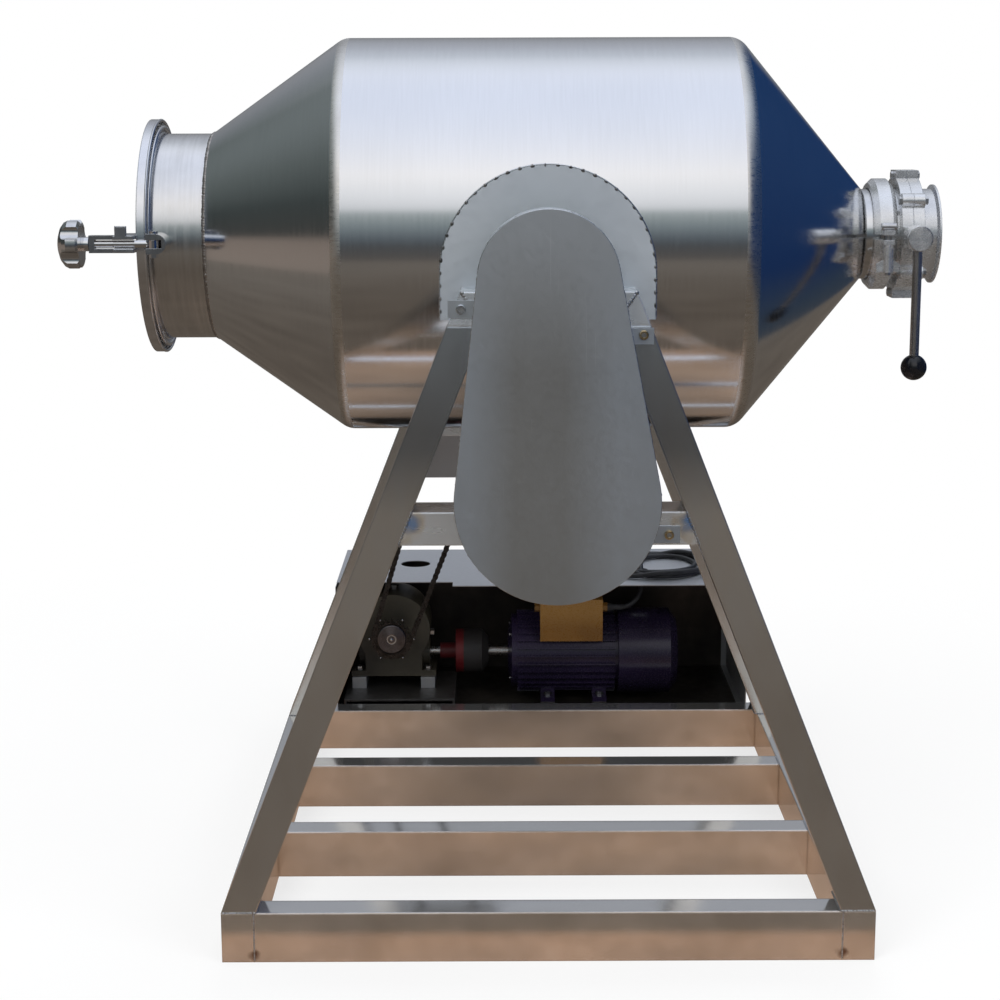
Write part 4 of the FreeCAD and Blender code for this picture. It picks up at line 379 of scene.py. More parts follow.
def flat_plane(name, low, high, z):
    mesh = bpy.data.meshes.new(name)
    mesh.from_pydata([(low[0], low[1], z), (high[0], low[1], z), (high[0], high[1], z), (low[0], high[1], z)],
                     [], [(0, 1, 2, 3)])
    plane = bpy.data.objects.new(name, mesh)
    bpy.context.scene.collection.objects.link(plane)
    return plane


def make_floor():
    """A white floor that keeps the shadow, and a glowing tan yard under it that only the metal mirrors, with
    shade and the machine's shadow painted into it.
    """
    floor = flat_plane("floor", (-30, -30), (30, 30), 0)
    paint = Paint("white_floor")
    paint.set(Roughness=0.9)
    paint.colour(paint.ramp(paint.noise(0.7), (0.3, (0.95, 0.95, 0.95)), (0.7, (1, 1, 1))))
    glow = paint.node("ShaderNodeEmission")
    far = paint.node("ShaderNodeVectorMath", operation="LENGTH")
    paint.join(paint.place, far.inputs[0])
    share = paint.node("ShaderNodeMath", operation="MULTIPLY")
    paint.join(paint.camera_sees(), share.inputs[0])
    paint.join(paint.spread(far.outputs["Value"], 0.72, 1.0, 0.8, 2.4), share.inputs[1])
    paint.finish_with(paint.blend(share.outputs[0], paint.shader.outputs[0], glow.outputs[0]))
    floor.data.materials.append(paint.material)
    floor.visible_glossy = False

    # The yard is painted dark in the middle as the machine's shadow, tan out to just past the rails, then
    # dark as ground in shade, by how far a place is from the base's middle
    base_half_width, base_half_depth, farthest = 0.60, 0.855, 5.0
    yard = flat_plane("yard", (-4.5, -6), (2.3, 5), -0.004)
    paint = Paint("tan_yard")
    parts = paint.node("ShaderNodeSeparateXYZ")
    shifted = paint.node("ShaderNodeMapping")
    shifted.inputs["Location"].default_value = (-AXIS.x, 0, 0)
    paint.join(paint.place, shifted.inputs["Vector"])
    paint.join(shifted.outputs["Vector"], parts.inputs["Vector"])
    reach = paint.node("ShaderNodeMath", operation="MAXIMUM")
    for number, (axis, half_width) in enumerate((("X", base_half_width), ("Y", base_half_depth))):
        size = paint.node("ShaderNodeMath", operation="ABSOLUTE")
        paint.join(parts.outputs[axis], size.inputs[0])
        paint.join(paint.spread(size.outputs[0], 0, 10, 0, 10 * half_width), reach.inputs[number])
    near = paint.spread(reach.outputs[0], 0, 1, 0.0, farthest)
    tone = paint.ramp(near, (0.0, (0.12, 0.094, 0.078)), (0.06, (0.20, 0.158, 0.130)),
                      (0.10, (0.29, 0.222, 0.178)), (0.16, (0.36, 0.262, 0.200)),
                      (0.197, (0.37, 0.255, 0.186)), (0.203, (0.135, 0.114, 0.096)),
                      (0.40, (0.118, 0.101, 0.086)), (1.0, (0.165, 0.150, 0.135)))
    patches = paint.ramp(paint.noise(5, 5), (0.35, (0.80, 0.78, 0.76)), (0.65, (1.1, 1.08, 1.05)))
    glow = paint.node("ShaderNodeEmission")
    paint.join(paint.mix(1.0, tone, patches, "MULTIPLY"), glow.inputs["Color"])
    paint.finish_with(glow.outputs[0])
    yard.data.materials.append(paint.material)
    for ray in ("camera", "diffuse", "transmission", "volume_scatter", "shadow"):
        setattr(yard, f"visible_{ray}", False)


# Mesh helpers

def round_points(radius, count, first=0.0):
    """Places (a, b) at equal steps round a circle."""
    for step in range(count):
        angle = first + 2 * math.pi * step / count
        yield radius * math.cos(angle), radius * math.sin(angle)


def new_piece(name, mesh, material, body, smooth=True):
    piece = bpy.data.objects.new(name, mesh)
    bpy.context.scene.collection.objects.link(piece)
    mesh.materials.append(material)
    for face in mesh.polygons:
        face.use_smooth = smooth
    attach(piece, body)
    return piece


def lathe(name, profile, material, body, steps):
    """Turns a closed run of (x, radius) points round the drum's axis."""
    points, faces = [], []
    count = len(profile)
    for across, up in round_points(1, steps):
        points += [(AXIS.x + x, AXIS.y + radius * across, AXIS.z + radius * up) for x, radius in profile]
    for step in range(steps):
        here, after = step * count, (step + 1) % steps * count
        for index in range(count):
            nearby = (index + 1) % count
            faces.append((here + index, here + nearby, after + nearby, after + index))
    mesh = bpy.data.meshes.new(name)
    mesh.from_pydata(points, [], faces)
    piece = new_piece(name, mesh, material, body)
    sharpen(piece, 35)
    return piece


def sharpen(piece, degrees):
    """Keeps edges steeper than this crisp under smooth shading."""
    mesh = bmesh.new()
    mesh.from_mesh(piece.data)
    bmesh.ops.recalc_face_normals(mesh, faces=mesh.faces)
    for edge in mesh.edges:
        if len(edge.link_faces) == 2:
            edge.smooth = edge.calc_face_angle(0) < math.radians(degrees)
    mesh.to_mesh(piece.data)
    mesh.free()


def rounded(corners, radius, steps):
    """The (x, radius) corners of a profile with every corner but the ends turned into an arc."""
    made = [corners[0]]
    for before, corner, after in zip(corners, corners[1:], corners[2:]):
        here = Vector(corner)
        first, second = (Vector(before) - here).normalized(), (Vector(after) - here).normalized()
        half = math.acos(max(-1, min(1, first.dot(second)))) / 2
        reach = radius / math.tan(half)
        middle = here + (first + second).normalized() * radius / math.sin(half)
        start, end = here + first * reach - middle, here + second * reach - middle
        turn = start.angle_signed(end)
        for step in range(steps + 1):
            angle = -turn * step / steps
            spun = Vector((start.x * math.cos(angle) - start.y * math.sin(angle),
                           start.x * math.sin(angle) + start.y * math.cos(angle)))
            made.append(tuple(middle + spun))
    made.append(corners[-1])
    return made


def lumps(name, places, material, body):
    """One piece made of flattened lumps, such as weld drops, at (place, size, outward) places."""
    mesh = bmesh.new()
    for place, size, outward in places:
        made = bmesh.ops.create_icosphere(mesh, subdivisions=2, radius=1)["verts"]
        turn = outward.to_track_quat("Z", "Y").to_matrix().to_4x4()
        scale = Matrix.Diagonal((*size, 1))
        bmesh.ops.transform(mesh, matrix=Matrix.Translation(place) @ turn @ scale, verts=made)
    data = bpy.data.meshes.new(name)
    mesh.to_mesh(data)
    mesh.free()
    new_piece(name, data, material, body)


def weld(name, places, size, material, body):
    """A row of overlapping weld drops of uneven size, at (place, outward) pairs."""
    drops = ((place, [part * chance.uniform(0.85, 1.2) for part in size], outward)
             for place, outward in places)
    lumps(name, drops, material, body)


def along(points, spacing, outward):
    """Places at about equal steps along a run of points, each with an outward direction."""
    for first, second in zip(points, points[1:]):
        first, second = Vector(first), Vector(second)
        count = max(1, round((second - first).length / spacing))
        for index in range(count):
            share = (index + 0.5 + chance.uniform(-0.15, 0.15)) / count
            yield first.lerp(second, share), Vector(outward)


def wire(name, points, radius, material, body, closed=True):
    """A thin round rod along points, as a mesh."""
    data = bpy.data.curves.new(name, "CURVE")
    data.dimensions = "3D"
    data.bevel_depth, data.bevel_resolution = radius, 3
    spline = data.splines.new("POLY")
    spline.points.add(len(points) - 1)
    for point, place in zip(spline.points, points):
        point.co = (*place, 1)
    spline.use_cyclic_u = closed
    line = bpy.data.objects.new(f"{name}_line", data)
    mesh = bpy.data.meshes.new_from_object(line)
    bpy.data.objects.remove(line)
    mesh.materials.clear()
    return new_piece(name, mesh, material, body)


def turned_disc(name, centre, profile, material, body):
    """Turns (y, radius) points round an axis along Y, and closes both ends."""
    points, faces = [], []
    count, steps = len(profile), 64
    for across, up in round_points(1, steps):
        points += [(centre[0] + radius * across, centre[1] + y, centre[2] + radius * up)
                   for y, radius in profile]
    for step in range(steps):
        here, after = step * count, (step + 1) % steps * count
        for index in range(count - 1):
            faces.append((here + index, here + index + 1, after + index + 1, after + index))
    faces.append([step * count for step in range(steps)])
    faces.append([step * count + count - 1 for step in range(steps)])
    mesh = bpy.data.meshes.new(name)
    mesh.from_pydata(points, [], faces)
    sharpen(new_piece(name, mesh, material, body), 35)


def dress(material, *names):
    """Gives the named solids a material."""
    for name in names:
        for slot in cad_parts[name].material_slots:
            slot.material = material


# The power cable: its route, then loose turns on the housing's top

CABLE_ROUTE = [
    (0.2128, 0.522, 0.250),
    (0.2201, 0.522, 0.250),
    (0.2578, 0.522, 0.250),
    (0.2848, 0.533, 0.274),
    (0.2868, 0.557, 0.304),
    (0.2888, 0.590, 0.323),
    (0.2898, 0.616, 0.323),
]
CABLE_LEAD_IN = [
    (0.2905, 0.645, 0.323),
    (0.2960, 0.6690, 0.323),
    (0.3117, 0.6875, 0.323),
    (0.3340, 0.6968, 0.323),
    (0.3590, 0.6965, 0.323),
    (0.3830, 0.6850, 0.323),
]
COIL_CENTRE = (0.3168, 0.612)
TURNS = [
    # radius along X, radius along Y, then the turn's middle from the coil's middle
    (0.070, 0.084, 0.008, 0.004),
    (0.116, 0.092, -0.008, 0.018),
    (0.092, 0.124, 0.030, -0.010),
    (0.132, 0.092, -0.004, -0.030),
]
TURN_POINTS = 16
FIRST_POINT = 7
CABLE_RADIUS = 0.005
PLATE_TOP = 0.317
GROMMET = (0.2878, 0.578, 0.3172)


def coil_points():
    """Loose turns, each with its own size and middle, every crossing laid over what is already there."""
    laid = []
    low = PLATE_TOP + CABLE_RADIUS + 0.0006
    crossing_reach, crossing_rise = 0.021, 0.0104
    for step in range(FIRST_POINT, TURN_POINTS * (len(TURNS) - 1) + 1):
        part, turn = math.modf(step / TURN_POINTS)
        first, second = TURNS[int(turn)], TURNS[min(int(turn) + 1, len(TURNS) - 1)]
        radius_x, radius_y, middle_x, middle_y = (a + (b - a) * part for a, b in zip(first, second))
        angle = math.pi - 2 * math.pi * step / TURN_POINTS
        x = COIL_CENTRE[0] + middle_x + radius_x * math.cos(angle)
        y = COIL_CENTRE[1] + middle_y + radius_y * math.sin(angle)
        under = [spot for spot in laid[:-3] if math.hypot(spot[0] - x, spot[1] - y) < crossing_reach]
        z = max([low] + [spot[2] + crossing_rise for spot in under])
        laid.append((x, y, z))
    return laid


def make_strain_relief(black):
    """A stepped rubber sleeve over the cable's first 36 mm, from the terminal box's gland."""
    data = bpy.data.curves.new("strain_relief", "CURVE")
    data.dimensions = "3D"
    data.bevel_depth, data.bevel_resolution = 0.001, 6
    data.use_fill_caps = True
    run = data.splines.new("POLY")
    # way along the cable in metres, radius in millimetres
    steps = [(0.000, 9.0), (0.006, 9.0), (0.0075, 7.6), (0.014, 7.4), (0.015, 6.6), (0.018, 6.6),
             (0.019, 7.0), (0.022, 6.8), (0.023, 6.2), (0.026, 6.2), (0.027, 6.5), (0.030, 6.3),
             (0.031, 5.7), (0.036, 5.4)]
    x, y, z = CABLE_ROUTE[0]
    run.points.add(len(steps) - 1)
    for point, (reach, thickness) in zip(run.points, steps):
        point.co = (x + reach, y, z, 1)
        point.radius = thickness
    sleeve = bpy.data.objects.new("strain_relief", data)
    bpy.context.scene.collection.objects.link(sleeve)
    data.materials.append(black)
    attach(sleeve, "frame")


def make_cores(data):
    """Three bare cores that fan out of the cable's far end."""
    line = data.copy()
    line.bevel_depth = 0
    probe = bpy.data.objects.new("probe", line)
    path = [vertex.co.copy() for vertex in bpy.data.meshes.new_from_object(probe).vertices]
    bpy.data.objects.remove(probe)
    end = path[-1]
    ahead = (end - path[-3]).normalized()
    aside = ahead.cross(Vector((0, 0, 1))).normalized()
    brown, blue, green = (0.16, 0.055, 0.02), (0.02, 0.06, 0.26), (0.16, 0.26, 0.03)
    cores = []
    for number, colour in enumerate((brown, blue, green)):
        paint = Paint(f"core_{number}")
        paint.set(Roughness=0.4)
        paint.colour(paint.ramp(paint.noise(300), (0.3, colour), (0.7, tuple(part * 1.4 for part in colour))))
        shift = (number - 1) * aside
        run = [end - 0.004 * ahead + 0.002 * shift, end + 0.010 * ahead + 0.0035 * shift,
               end + 0.022 * ahead + 0.0075 * shift]
        cores.append(wire(f"cable_core_{number}", run, 0.0014, paint.material, "frame", closed=False))
    return cores


def make_cable(black):
    """The cable from the motor's gland up through a grommet and round its loose turns."""
    data = bpy.data.curves.new("power_cable", "CURVE")
    data.dimensions = "3D"
    spline = data.splines.new("NURBS")
    points = CABLE_ROUTE + CABLE_LEAD_IN + coil_points()
    spline.points.add(len(points) - 1)
    for point, place in zip(spline.points, points):
        point.co = (*place, 1)
    spline.order_u = 3
    spline.use_endpoint_u = True
    spline.resolution_u = 8
    data.bevel_depth = CABLE_RADIUS
    data.bevel_resolution = 5
    data.use_fill_caps = True
    cable = bpy.data.objects.new("power_cable", data)
    bpy.context.scene.collection.objects.link(cable)
    data.materials.append(black)
    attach(cable, "frame")
    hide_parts("cable_lead", "cable_coil")
    make_strain_relief(black)
    x, y, z = GROMMET
    ring = [(x + across, y + along_y, z) for across, along_y in round_points(0.0148, 40)]
    wire("cable_grommet", ring, 0.0019, black, "frame")
    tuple(CABLE_ROUTE[0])
    make_cores(data)


# Pieces

def make_drum(skin, band):
    """Cylinder and cones as one welded shell, with planished bands where they meet."""
    half_length, radius, wall, corner = 0.330, 0.330, 0.004, 0.034
    loading_end, loading_radius = -0.555, 0.173
    discharge_end, discharge_radius = 0.545, 0.0762
    band_start, band_end = 0.313, 0.336
    # Measured along the radius, a cone's wall is thicker than its sheet
    outside = [(loading_end, loading_radius), (-half_length, radius), (half_length, radius),
               (discharge_end, discharge_radius)]
    inside = [(discharge_end, discharge_radius - wall * 1.3), (half_length - 0.002, radius - wall),
              (-half_length + 0.001, radius - wall), (loading_end, loading_radius - wall * 1.2)]
    profile = rounded(outside, corner, 12) + rounded(inside, corner, 8)
    shell = lathe("drum_shell", profile, skin, "drum", steps=256)
    shell.data.materials.append(band)
    for face in shell.data.polygons:
        if band_start < abs(face.center.x - AXIS.x) < band_end:
            face.material_index = 1
    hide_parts("drum_cylinder", "loading_cone", "discharge_cone")


def ring_places(x, radius, spacing, lean=0.0):
    """Uneven places round the drum's axis, each with an outward direction that may lean along X."""
    count = int(2 * math.pi * radius / spacing)
    for index in range(count):
        angle = 2 * math.pi * (index + chance.uniform(-0.2, 0.2)) / count
        outward = Vector((lean, math.cos(angle), math.sin(angle))).normalized()
        yield AXIS + Vector((x, radius * math.cos(angle), radius * math.sin(angle))), outward


def leg_x(height, inset=0.0):
    """Half distance between the legs' outer faces at a height, less an inset."""
    foot_half, lean, rail_top = 0.503, 0.394, 0.080
    return foot_half - lean * (height - rail_top) - inset


def make_frame_welds(bead):
    """Beads at the legs' feet, the crossbars' ends, the top bars' mitres and the rails' corners."""
    foot_outer, foot_inner, foot_top = 0.5010, 0.4493, 0.0805
    crossbar_low, crossbar_high, crossbar_inset = 0.656, 0.706, 0.0537
    spacing = 0.0045
    places = []
    for front, back in (FRONT_FRAME, REAR_FRAME):
        for side in (-1, 1):
            foot = [(foot_outer, back), (foot_inner, back), (foot_inner, front), (foot_outer, front)]
            foot = [(AXIS.x + side * half_width, y, foot_top) for half_width, y in foot]
            places += along(foot, spacing, (-side * 0.2, 0, 1))
            ends = [(crossbar_low, back), (crossbar_low, front), (crossbar_high, front),
                    (crossbar_high, back)]
            ends = [(AXIS.x + side * leg_x(z, crossbar_inset), y, z) for z, y in ends]
            places += along(ends, spacing, (-side, -0.5, 0.3))
            for y in (front, back):
                mitre = [(AXIS.x + side * 0.0944, y, 0.9808), (AXIS.x + side * 0.1275, y, 1.0300)]
                places += along(mitre, spacing, (0, -1 if y == front else 1, 0))
    weld("frame_welds", places, (0.0028, 0.0028, 0.0009), bead, "frame")

    places = []
    for number in range(4):
        front = FRONT_FRAME[0] + number * CROSS_RAIL_PITCH
        for side in (-1, 1):
            x = AXIS.x + side * CROSS_RAIL_HALF
            places += along([(x, front, 0.0802), (x, front + RAIL_THICKNESS, 0.0802)], 0.004, (0, 0, 1))
            if number == 0:
                places += along([(x, front, 0.002), (x, front, 0.079)], 0.003, (0, -1, 0))
    weld("rail_welds", places, (0.0015, 0.0015, 0.0004), bead, "frame")


def guard_outline(radius_out=0.0):
    """The teardrop's edge: two circles with the straight runs that touch both, as (x, z) points."""
    top, low = Vector((0.0528, 1.050)), Vector((0.0658, 0.730))
    top_radius, low_radius = 0.102 + radius_out, 0.150 + radius_out
    across = low - top
    facing = math.atan2(across.y, across.x)
    tilt = math.acos((top_radius - low_radius) / across.length)
    points = []
    for centre, radius, begin, finish in ((top, top_radius, facing + tilt, facing + 2 * math.pi - tilt),
                                          (low, low_radius, facing - tilt, facing + tilt)):
        for step in range(49):
            angle = begin + (finish - begin) * step / 48
            points.append((centre.x + radius * math.cos(angle), centre.y + radius * math.sin(angle)))
    return points


def evenly(points, spacing):
    """Points at a spacing along a closed outline, each with its outward direction."""
    walked, made = 0.0, []
    for (x, z), (next_x, next_z) in zip(points, points[1:] + points[:1]):
        length = math.hypot(next_x - x, next_z - z)
        if walked + length >= spacing and length > 0:
            outward = Vector((next_z - z, 0, x - next_x)).normalized()
            count = int((walked + length) / spacing)
            for index in range(1, count + 1):
                share = (index * spacing - walked) / length
                made.append(((x + (next_x - x) * share, z + (next_z - z) * share), outward))
            walked = walked + length - count * spacing
        else:
            walked += length
    return made


def make_guard_edges(rim, bead):
    """The cut edge of each guard's face as a thin rod, near-white as a painted highlight along the edge, and
    the small welds that hold it to its rim.
    """
    rim_radius, shroud_radius, shroud_foot = 0.0011, 0.161, 0.984
    wire("guard_rim", [(x, GUARD_Y + 0.0014, z) for x, z in guard_outline(-0.0005)], rim_radius, rim, "frame")
    centre = Vector((AXIS.x, 1.050))
    arc = [(centre.x + shroud_radius * math.cos(math.radians(angle)),
            centre.y + shroud_radius * math.sin(math.radians(angle))) for angle in range(0, 181, 4)]
    arc = [(centre.x + shroud_radius, shroud_foot)] + arc + [(centre.x - shroud_radius, shroud_foot)]
    shroud_y = FRONT_FRAME[1]
    wire("shroud_rim", [(x, shroud_y + 0.0004, z) for x, z in arc], rim_radius, rim, "frame", closed=False)
    places = [(Vector((x, GUARD_Y + 0.0022, z)) - 0.0012 * outward, outward)
              for (x, z), outward in evenly(guard_outline(), 0.027)]
    weld("guard_tacks", places, (0.0016, 0.0030, 0.0022), bead, "frame")
    places = [(Vector((x, shroud_y + 0.0005, z)) - 0.0010 * outward, outward)
              for (x, z), outward in evenly(arc, 0.019) if z > shroud_foot + 0.001]
    weld("shroud_tacks", places, (0.0014, 0.0036, 0.0024), bead, "frame")


def make_guard_bolts(bright, brass, dark):
    """Socket heads in front of the guard's bolts: a bright rim round a socket coloured dark as painted shade
    in its hollow.
    """
    seat_y = -0.7366
    rim = [(0, 0.0070), (-0.0052, 0.0070), (-0.0064, 0.0060), (-0.0064, 0.0036), (-0.0030, 0.0034)]
    socket = [(-0.0020, 0.0036), (-0.0032, 0.0035)]
    for name, x, z, metal in (("left", -0.0734, 1.006, bright), ("right", 0.1919, 0.968, brass),
                              ("lower", 0.2324, 0.672, brass)):
        turned_disc(f"{name}_bolt_head", (x, seat_y, z), rim, metal, "frame")
        # painted shade: the socket's dark disc
        turned_disc(f"{name}_bolt_socket", (x, seat_y, z), socket, dark, "frame")


def make_lid_edges(bright):
    """Rolled rims of the lid and the neck's flange."""
    for name, x, radius, thickness, body in (
            ("lid_roll", -0.6440, 0.1952, 0.0026, "lid"), ("flange_roll", -0.6410, 0.1830, 0.0040, "drum"),
            ("neck_fillet", -0.6410, 0.1742, 0.0022, "drum")):
        ring = [(AXIS.x + x, AXIS.y + across, AXIS.z + up) for across, up in round_points(radius, 128)]
        wire(name, ring, thickness, bright, body)


def make_boss_welds(bead):
    """The saddle seam round each trunnion's boss."""
    seam_radius, drum_radius, count = 0.0855, 0.3305, 150
    places = []
    for side in (-1, 1):
        for across, up in round_points(1, count):
            x, z = seam_radius * across, seam_radius * up
            y = side * math.sqrt(drum_radius ** 2 - z ** 2)
            places.append((AXIS + Vector((x, y, z)), Vector((0.5 * across, side, 0.5 * up)).normalized()))
    weld("boss_welds", places, (0.0034, 0.0034, 0.0018), bead, "drum")


def make_drive_details(bright, dull):
    """Screws of the motor's shields, and the sprocket's hub face with its small rivets and centre bolt."""
    screws = []
    for x, radius in ((0.0048, 0.068), (0.2378, 0.0885)):
        for across, up in round_points(radius, 4, math.pi / 4):
            place = Vector((x, MOTOR_SHAFT.y + across, MOTOR_SHAFT.z + up))
            screws.append((place, (0.0036, 0.0036, 0.0030), Vector((-1, 0, 0))))
    lumps("motor_screws", screws, bright, "frame")

    face_y, groove_pitch = 0.4240, 0.003
    grooves = [(0.0, 0.0300)]
    for step in range(9, 3, -1):
        radius = groove_pitch * step
        grooves += [(-0.0022, radius + 0.0018), (-0.0028, radius + 0.0008), (-0.0028, radius - 0.0004)]
    grooves += [(-0.0022, 0.0100), (-0.0004, 0.0096), (-0.0004, 0.0080), (-0.0030, 0.0076), (-0.0034, 0.0030)]
    turned_disc("sprocket_face", (DRIVE_SHAFT.x, face_y, DRIVE_SHAFT.z), grooves, dull, "output")

    forward = Vector((0, -1, 0))
    rivet_size, bolt_size = (0.0022, 0.0022, 0.0016), (0.0040, 0.0040, 0.0024)
    rivets = [(Vector((DRIVE_SHAFT.x + across, 0.4262, DRIVE_SHAFT.z + up)), rivet_size, forward)
              for across, up in round_points(0.0465, 6)]
    rivets.append((Vector((DRIVE_SHAFT.x, 0.4212, DRIVE_SHAFT.z)), bolt_size, forward))
    lumps("sprocket_rivets", rivets, bright, "output")


def chain_places():
    """Roller centres round the loop, walked on half of it and mirrored."""
    pitch, drum_teeth, drive_teeth = 0.0127, 38, 19
    run = Vector((DRIVE_SHAFT.x - AXIS.x, DRIVE_SHAFT.z - AXIS.z))
    ahead, centres = run.normalized(), run.length
    aside = Vector((-ahead.y, ahead.x))
    big_step, small_step = math.pi / drum_teeth, math.pi / drive_teeth
    big, small = pitch / 2 / math.sin(big_step), pitch / 2 / math.sin(small_step)
    tilt = math.asin((big - small) / centres)
    straight = math.sqrt(centres ** 2 - (big - small) ** 2)
    on_big, on_small = (math.pi / 2 + tilt) / (2 * big_step), (math.pi / 2 - tilt) / (2 * small_step)
    links = round(on_big + straight / pitch + on_small)
    on_straight = links - on_big - on_small
    half = []
    for number in range(links + 1):
        if number <= on_big:
            angle = math.pi - 2 * big_step * number
            place = (big * math.cos(angle), big * math.sin(angle))
        elif number <= on_big + on_straight:
            travel = (number - on_big) * straight / on_straight
            place = (big * math.sin(tilt) + travel * math.cos(tilt),
                     big * math.cos(tilt) - travel * math.sin(tilt))
        else:
            angle = 2 * small_step * (links - number)
            place = (centres + small * math.cos(angle), small * math.sin(angle))
        half.append(place)
    loop = half + [(u, -v) for u, v in reversed(half[1:-1])]
    return [Vector((AXIS.x + ahead.x * u + aside.x * v, CHAIN_Y, AXIS.z + ahead.y * u + aside.y * v))
            for u, v in loop]


def make_chain(dark):
    """Waisted plates, alternately inner and outer, with rollers and pins."""
    end_radius, waist, plate_thickness = 0.0057, 0.0040, 0.0013
    inner_plate, outer_plate = 0.0041, 0.0055
    roller_radius, roller_reach = 0.0035, 0.0038
    pin_radius, pin_reach = 0.0018, 0.0069
    mesh = bmesh.new()

    def prism(outline, low, high):
        rings = [[mesh.verts.new((x, y, z)) for x, z in outline] for y in (low, high)]
        mesh.faces.new(rings[0])
        mesh.faces.new(list(reversed(rings[1])))
        count = len(outline)
        for index in range(count):
            after = (index + 1) % count
            mesh.faces.new((rings[0][index], rings[1][index], rings[1][after], rings[0][after]))

    def circle(place, radius, count):
        return [(place.x + across, place.z + up) for across, up in round_points(radius, count)]

    places = chain_places()
    for number, (here, after) in enumerate(zip(places, places[1:] + places[:1])):
        facing = math.atan2(after.z - here.z, after.x - here.x)
        outline = []
        for centre, first in ((after, -110), (here, 70)):
            for step in range(9):
                angle = facing + math.radians(first + step * 220 / 8)
                outline.append((centre.x + end_radius * math.cos(angle),
                                centre.z + end_radius * math.sin(angle)))
            middle = here.lerp(after, 0.5)
            reach = waist if centre is after else -waist
            outline.append((middle.x - reach * math.sin(facing), middle.z + reach * math.cos(facing)))
        near = inner_plate if number % 2 else outer_plate
        for side in (-1, 1):
            low, high = sorted((side * near, side * (near + plate_thickness)))
            prism(outline, here.y + low, here.y + high)
        prism(circle(here, roller_radius, 12), here.y - roller_reach, here.y + roller_reach)
        prism(circle(here, pin_radius, 8), here.y - pin_reach, here.y + pin_reach)
    bmesh.ops.recalc_face_normals(mesh, faces=mesh.faces)
    data = bpy.data.meshes.new("drive_chain_links")
    mesh.to_mesh(data)
    mesh.free()
    links = new_piece("drive_chain_links", data, dark, "frame", smooth=False)
    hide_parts("drive_chain")


def make_hub_face(bright):
    """The turned rings on the end of the valve's hub."""
    face_y, groove_pitch = -0.3302, 0.0021
    profile = [(0.0004, 0.0206)]
    for step in range(9, 0, -1):
        radius = groove_pitch * step
        profile += [(0.0001, radius + 0.0006), (0.0004, radius), (0.0004, radius - 0.0005)]
    turned_disc("hub_face", (STEM_X, face_y, AXIS.z), profile, bright, "valve")


# The camera and the cable come first, then the light and the floor

make_camera()
rubber = coat("black_rubber", (0.030, 0.031, 0.034), (0.018, 0.018, 0.020), 0.48, scale=40, round_edges=0)
make_cable(rubber)
light_sky()
make_floor()
soft_lamp("key", (-2.5, -4.0, 4.2), (0, 0, 0.7), 3.0, 130)
soft_lamp("fill", (3.2, -3.4, 3.0), (0, 0, 0.6), 3.0, 60)
soft_lamp("back", (0.5, 3.6, 3.6), (0, 0, 0.8), 3.0, 80)

# Materials

heat_blue = (0.22, 0.36, 0.62)
heat_straw = (0.62, 0.48, 0.30)
scorch = (0.22, 0.13, 0.09)
crossbar_ends = [(AXIS.x + side * 0.212, y, 0.690)
                 for side in (-1, 1) for y in (FRONT_FRAME[0], REAR_FRAME[1])]
rail_corners = [(AXIS.x + side * CROSS_RAIL_HALF, FRONT_FRAME[0], 0.012) for side in (-1, 1)]

# painted shade: faces of the drum and its bands that look down are darkened, standing for the shade under the
# drum
drum_steel = steel("drum_steel", (0.80, 0.80, 0.80), (0.74, 0.74, 0.74), 0.13, grain=(30, 1, 1),
                   grain_scale=14, grain_bump=0.012, under=(0.34, 0.36, 0.37))
band_steel = steel("band_steel", (0.82, 0.80, 0.76), (0.66, 0.63, 0.58), 0.30, grain=(1, 18, 18),
                   grain_scale=20, grain_bump=0.05, blotch=14, under=(0.36, 0.35, 0.33))
neck_steel = steel("neck_steel", (0.80, 0.79, 0.78), (0.62, 0.61, 0.59), 0.20, grain=(22, 1.2, 1.2),
                   grain_scale=8, grain_bump=0.04, blotch=9)
lid_steel = steel("lid_steel", (0.82, 0.82, 0.83), (0.70, 0.70, 0.71), 0.17, grain_bump=0.02, blotch=6,
                  round_edges=0.003)
# painted reflection: by height, the legs turn dark grey from 0.70 to 0.80 m and grey-blue from 0.83 to 0.97 m
frame_steel = steel("frame_steel", (0.79, 0.76, 0.72), (0.72, 0.68, 0.63), 0.20, grain=(2, 2, 0.5),
                    grain_scale=14, grain_bump=0.003, round_edges=0.004, metallic=0.97,
                    bands=(((0.40, 0.41, 0.42), "Z", 0.700, 0.800), ((0.66, 0.70, 0.73), "Z", 0.830, 0.970)))
mount_steel = steel("mount_steel", (0.22, 0.21, 0.20), (0.15, 0.14, 0.135), 0.44, grain_bump=0.01,
                    blotch=12, round_edges=0.0015, metallic=0.95,
                    bands=(((0.62, 0.62, 0.63), "Z", 0.0822, 0.0832),))
# painted reflection: the top bars turn a pale sky blue above 0.96 m; the straw and blue marks at the
# crossbars' ends are real heat tint
bar_steel = steel("bar_steel", (0.82, 0.83, 0.84), (0.76, 0.76, 0.76), 0.24, grain=(0.5, 2, 2),
                  grain_scale=14, grain_bump=0.003, blotch=4, round_edges=0.004, metallic=0.82,
                  bands=(((0.90, 0.94, 0.98), "Z", 0.960, 0.985),),
                  stains=((heat_straw, 0.034, crossbar_ends), (heat_blue, 0.022, crossbar_ends)))
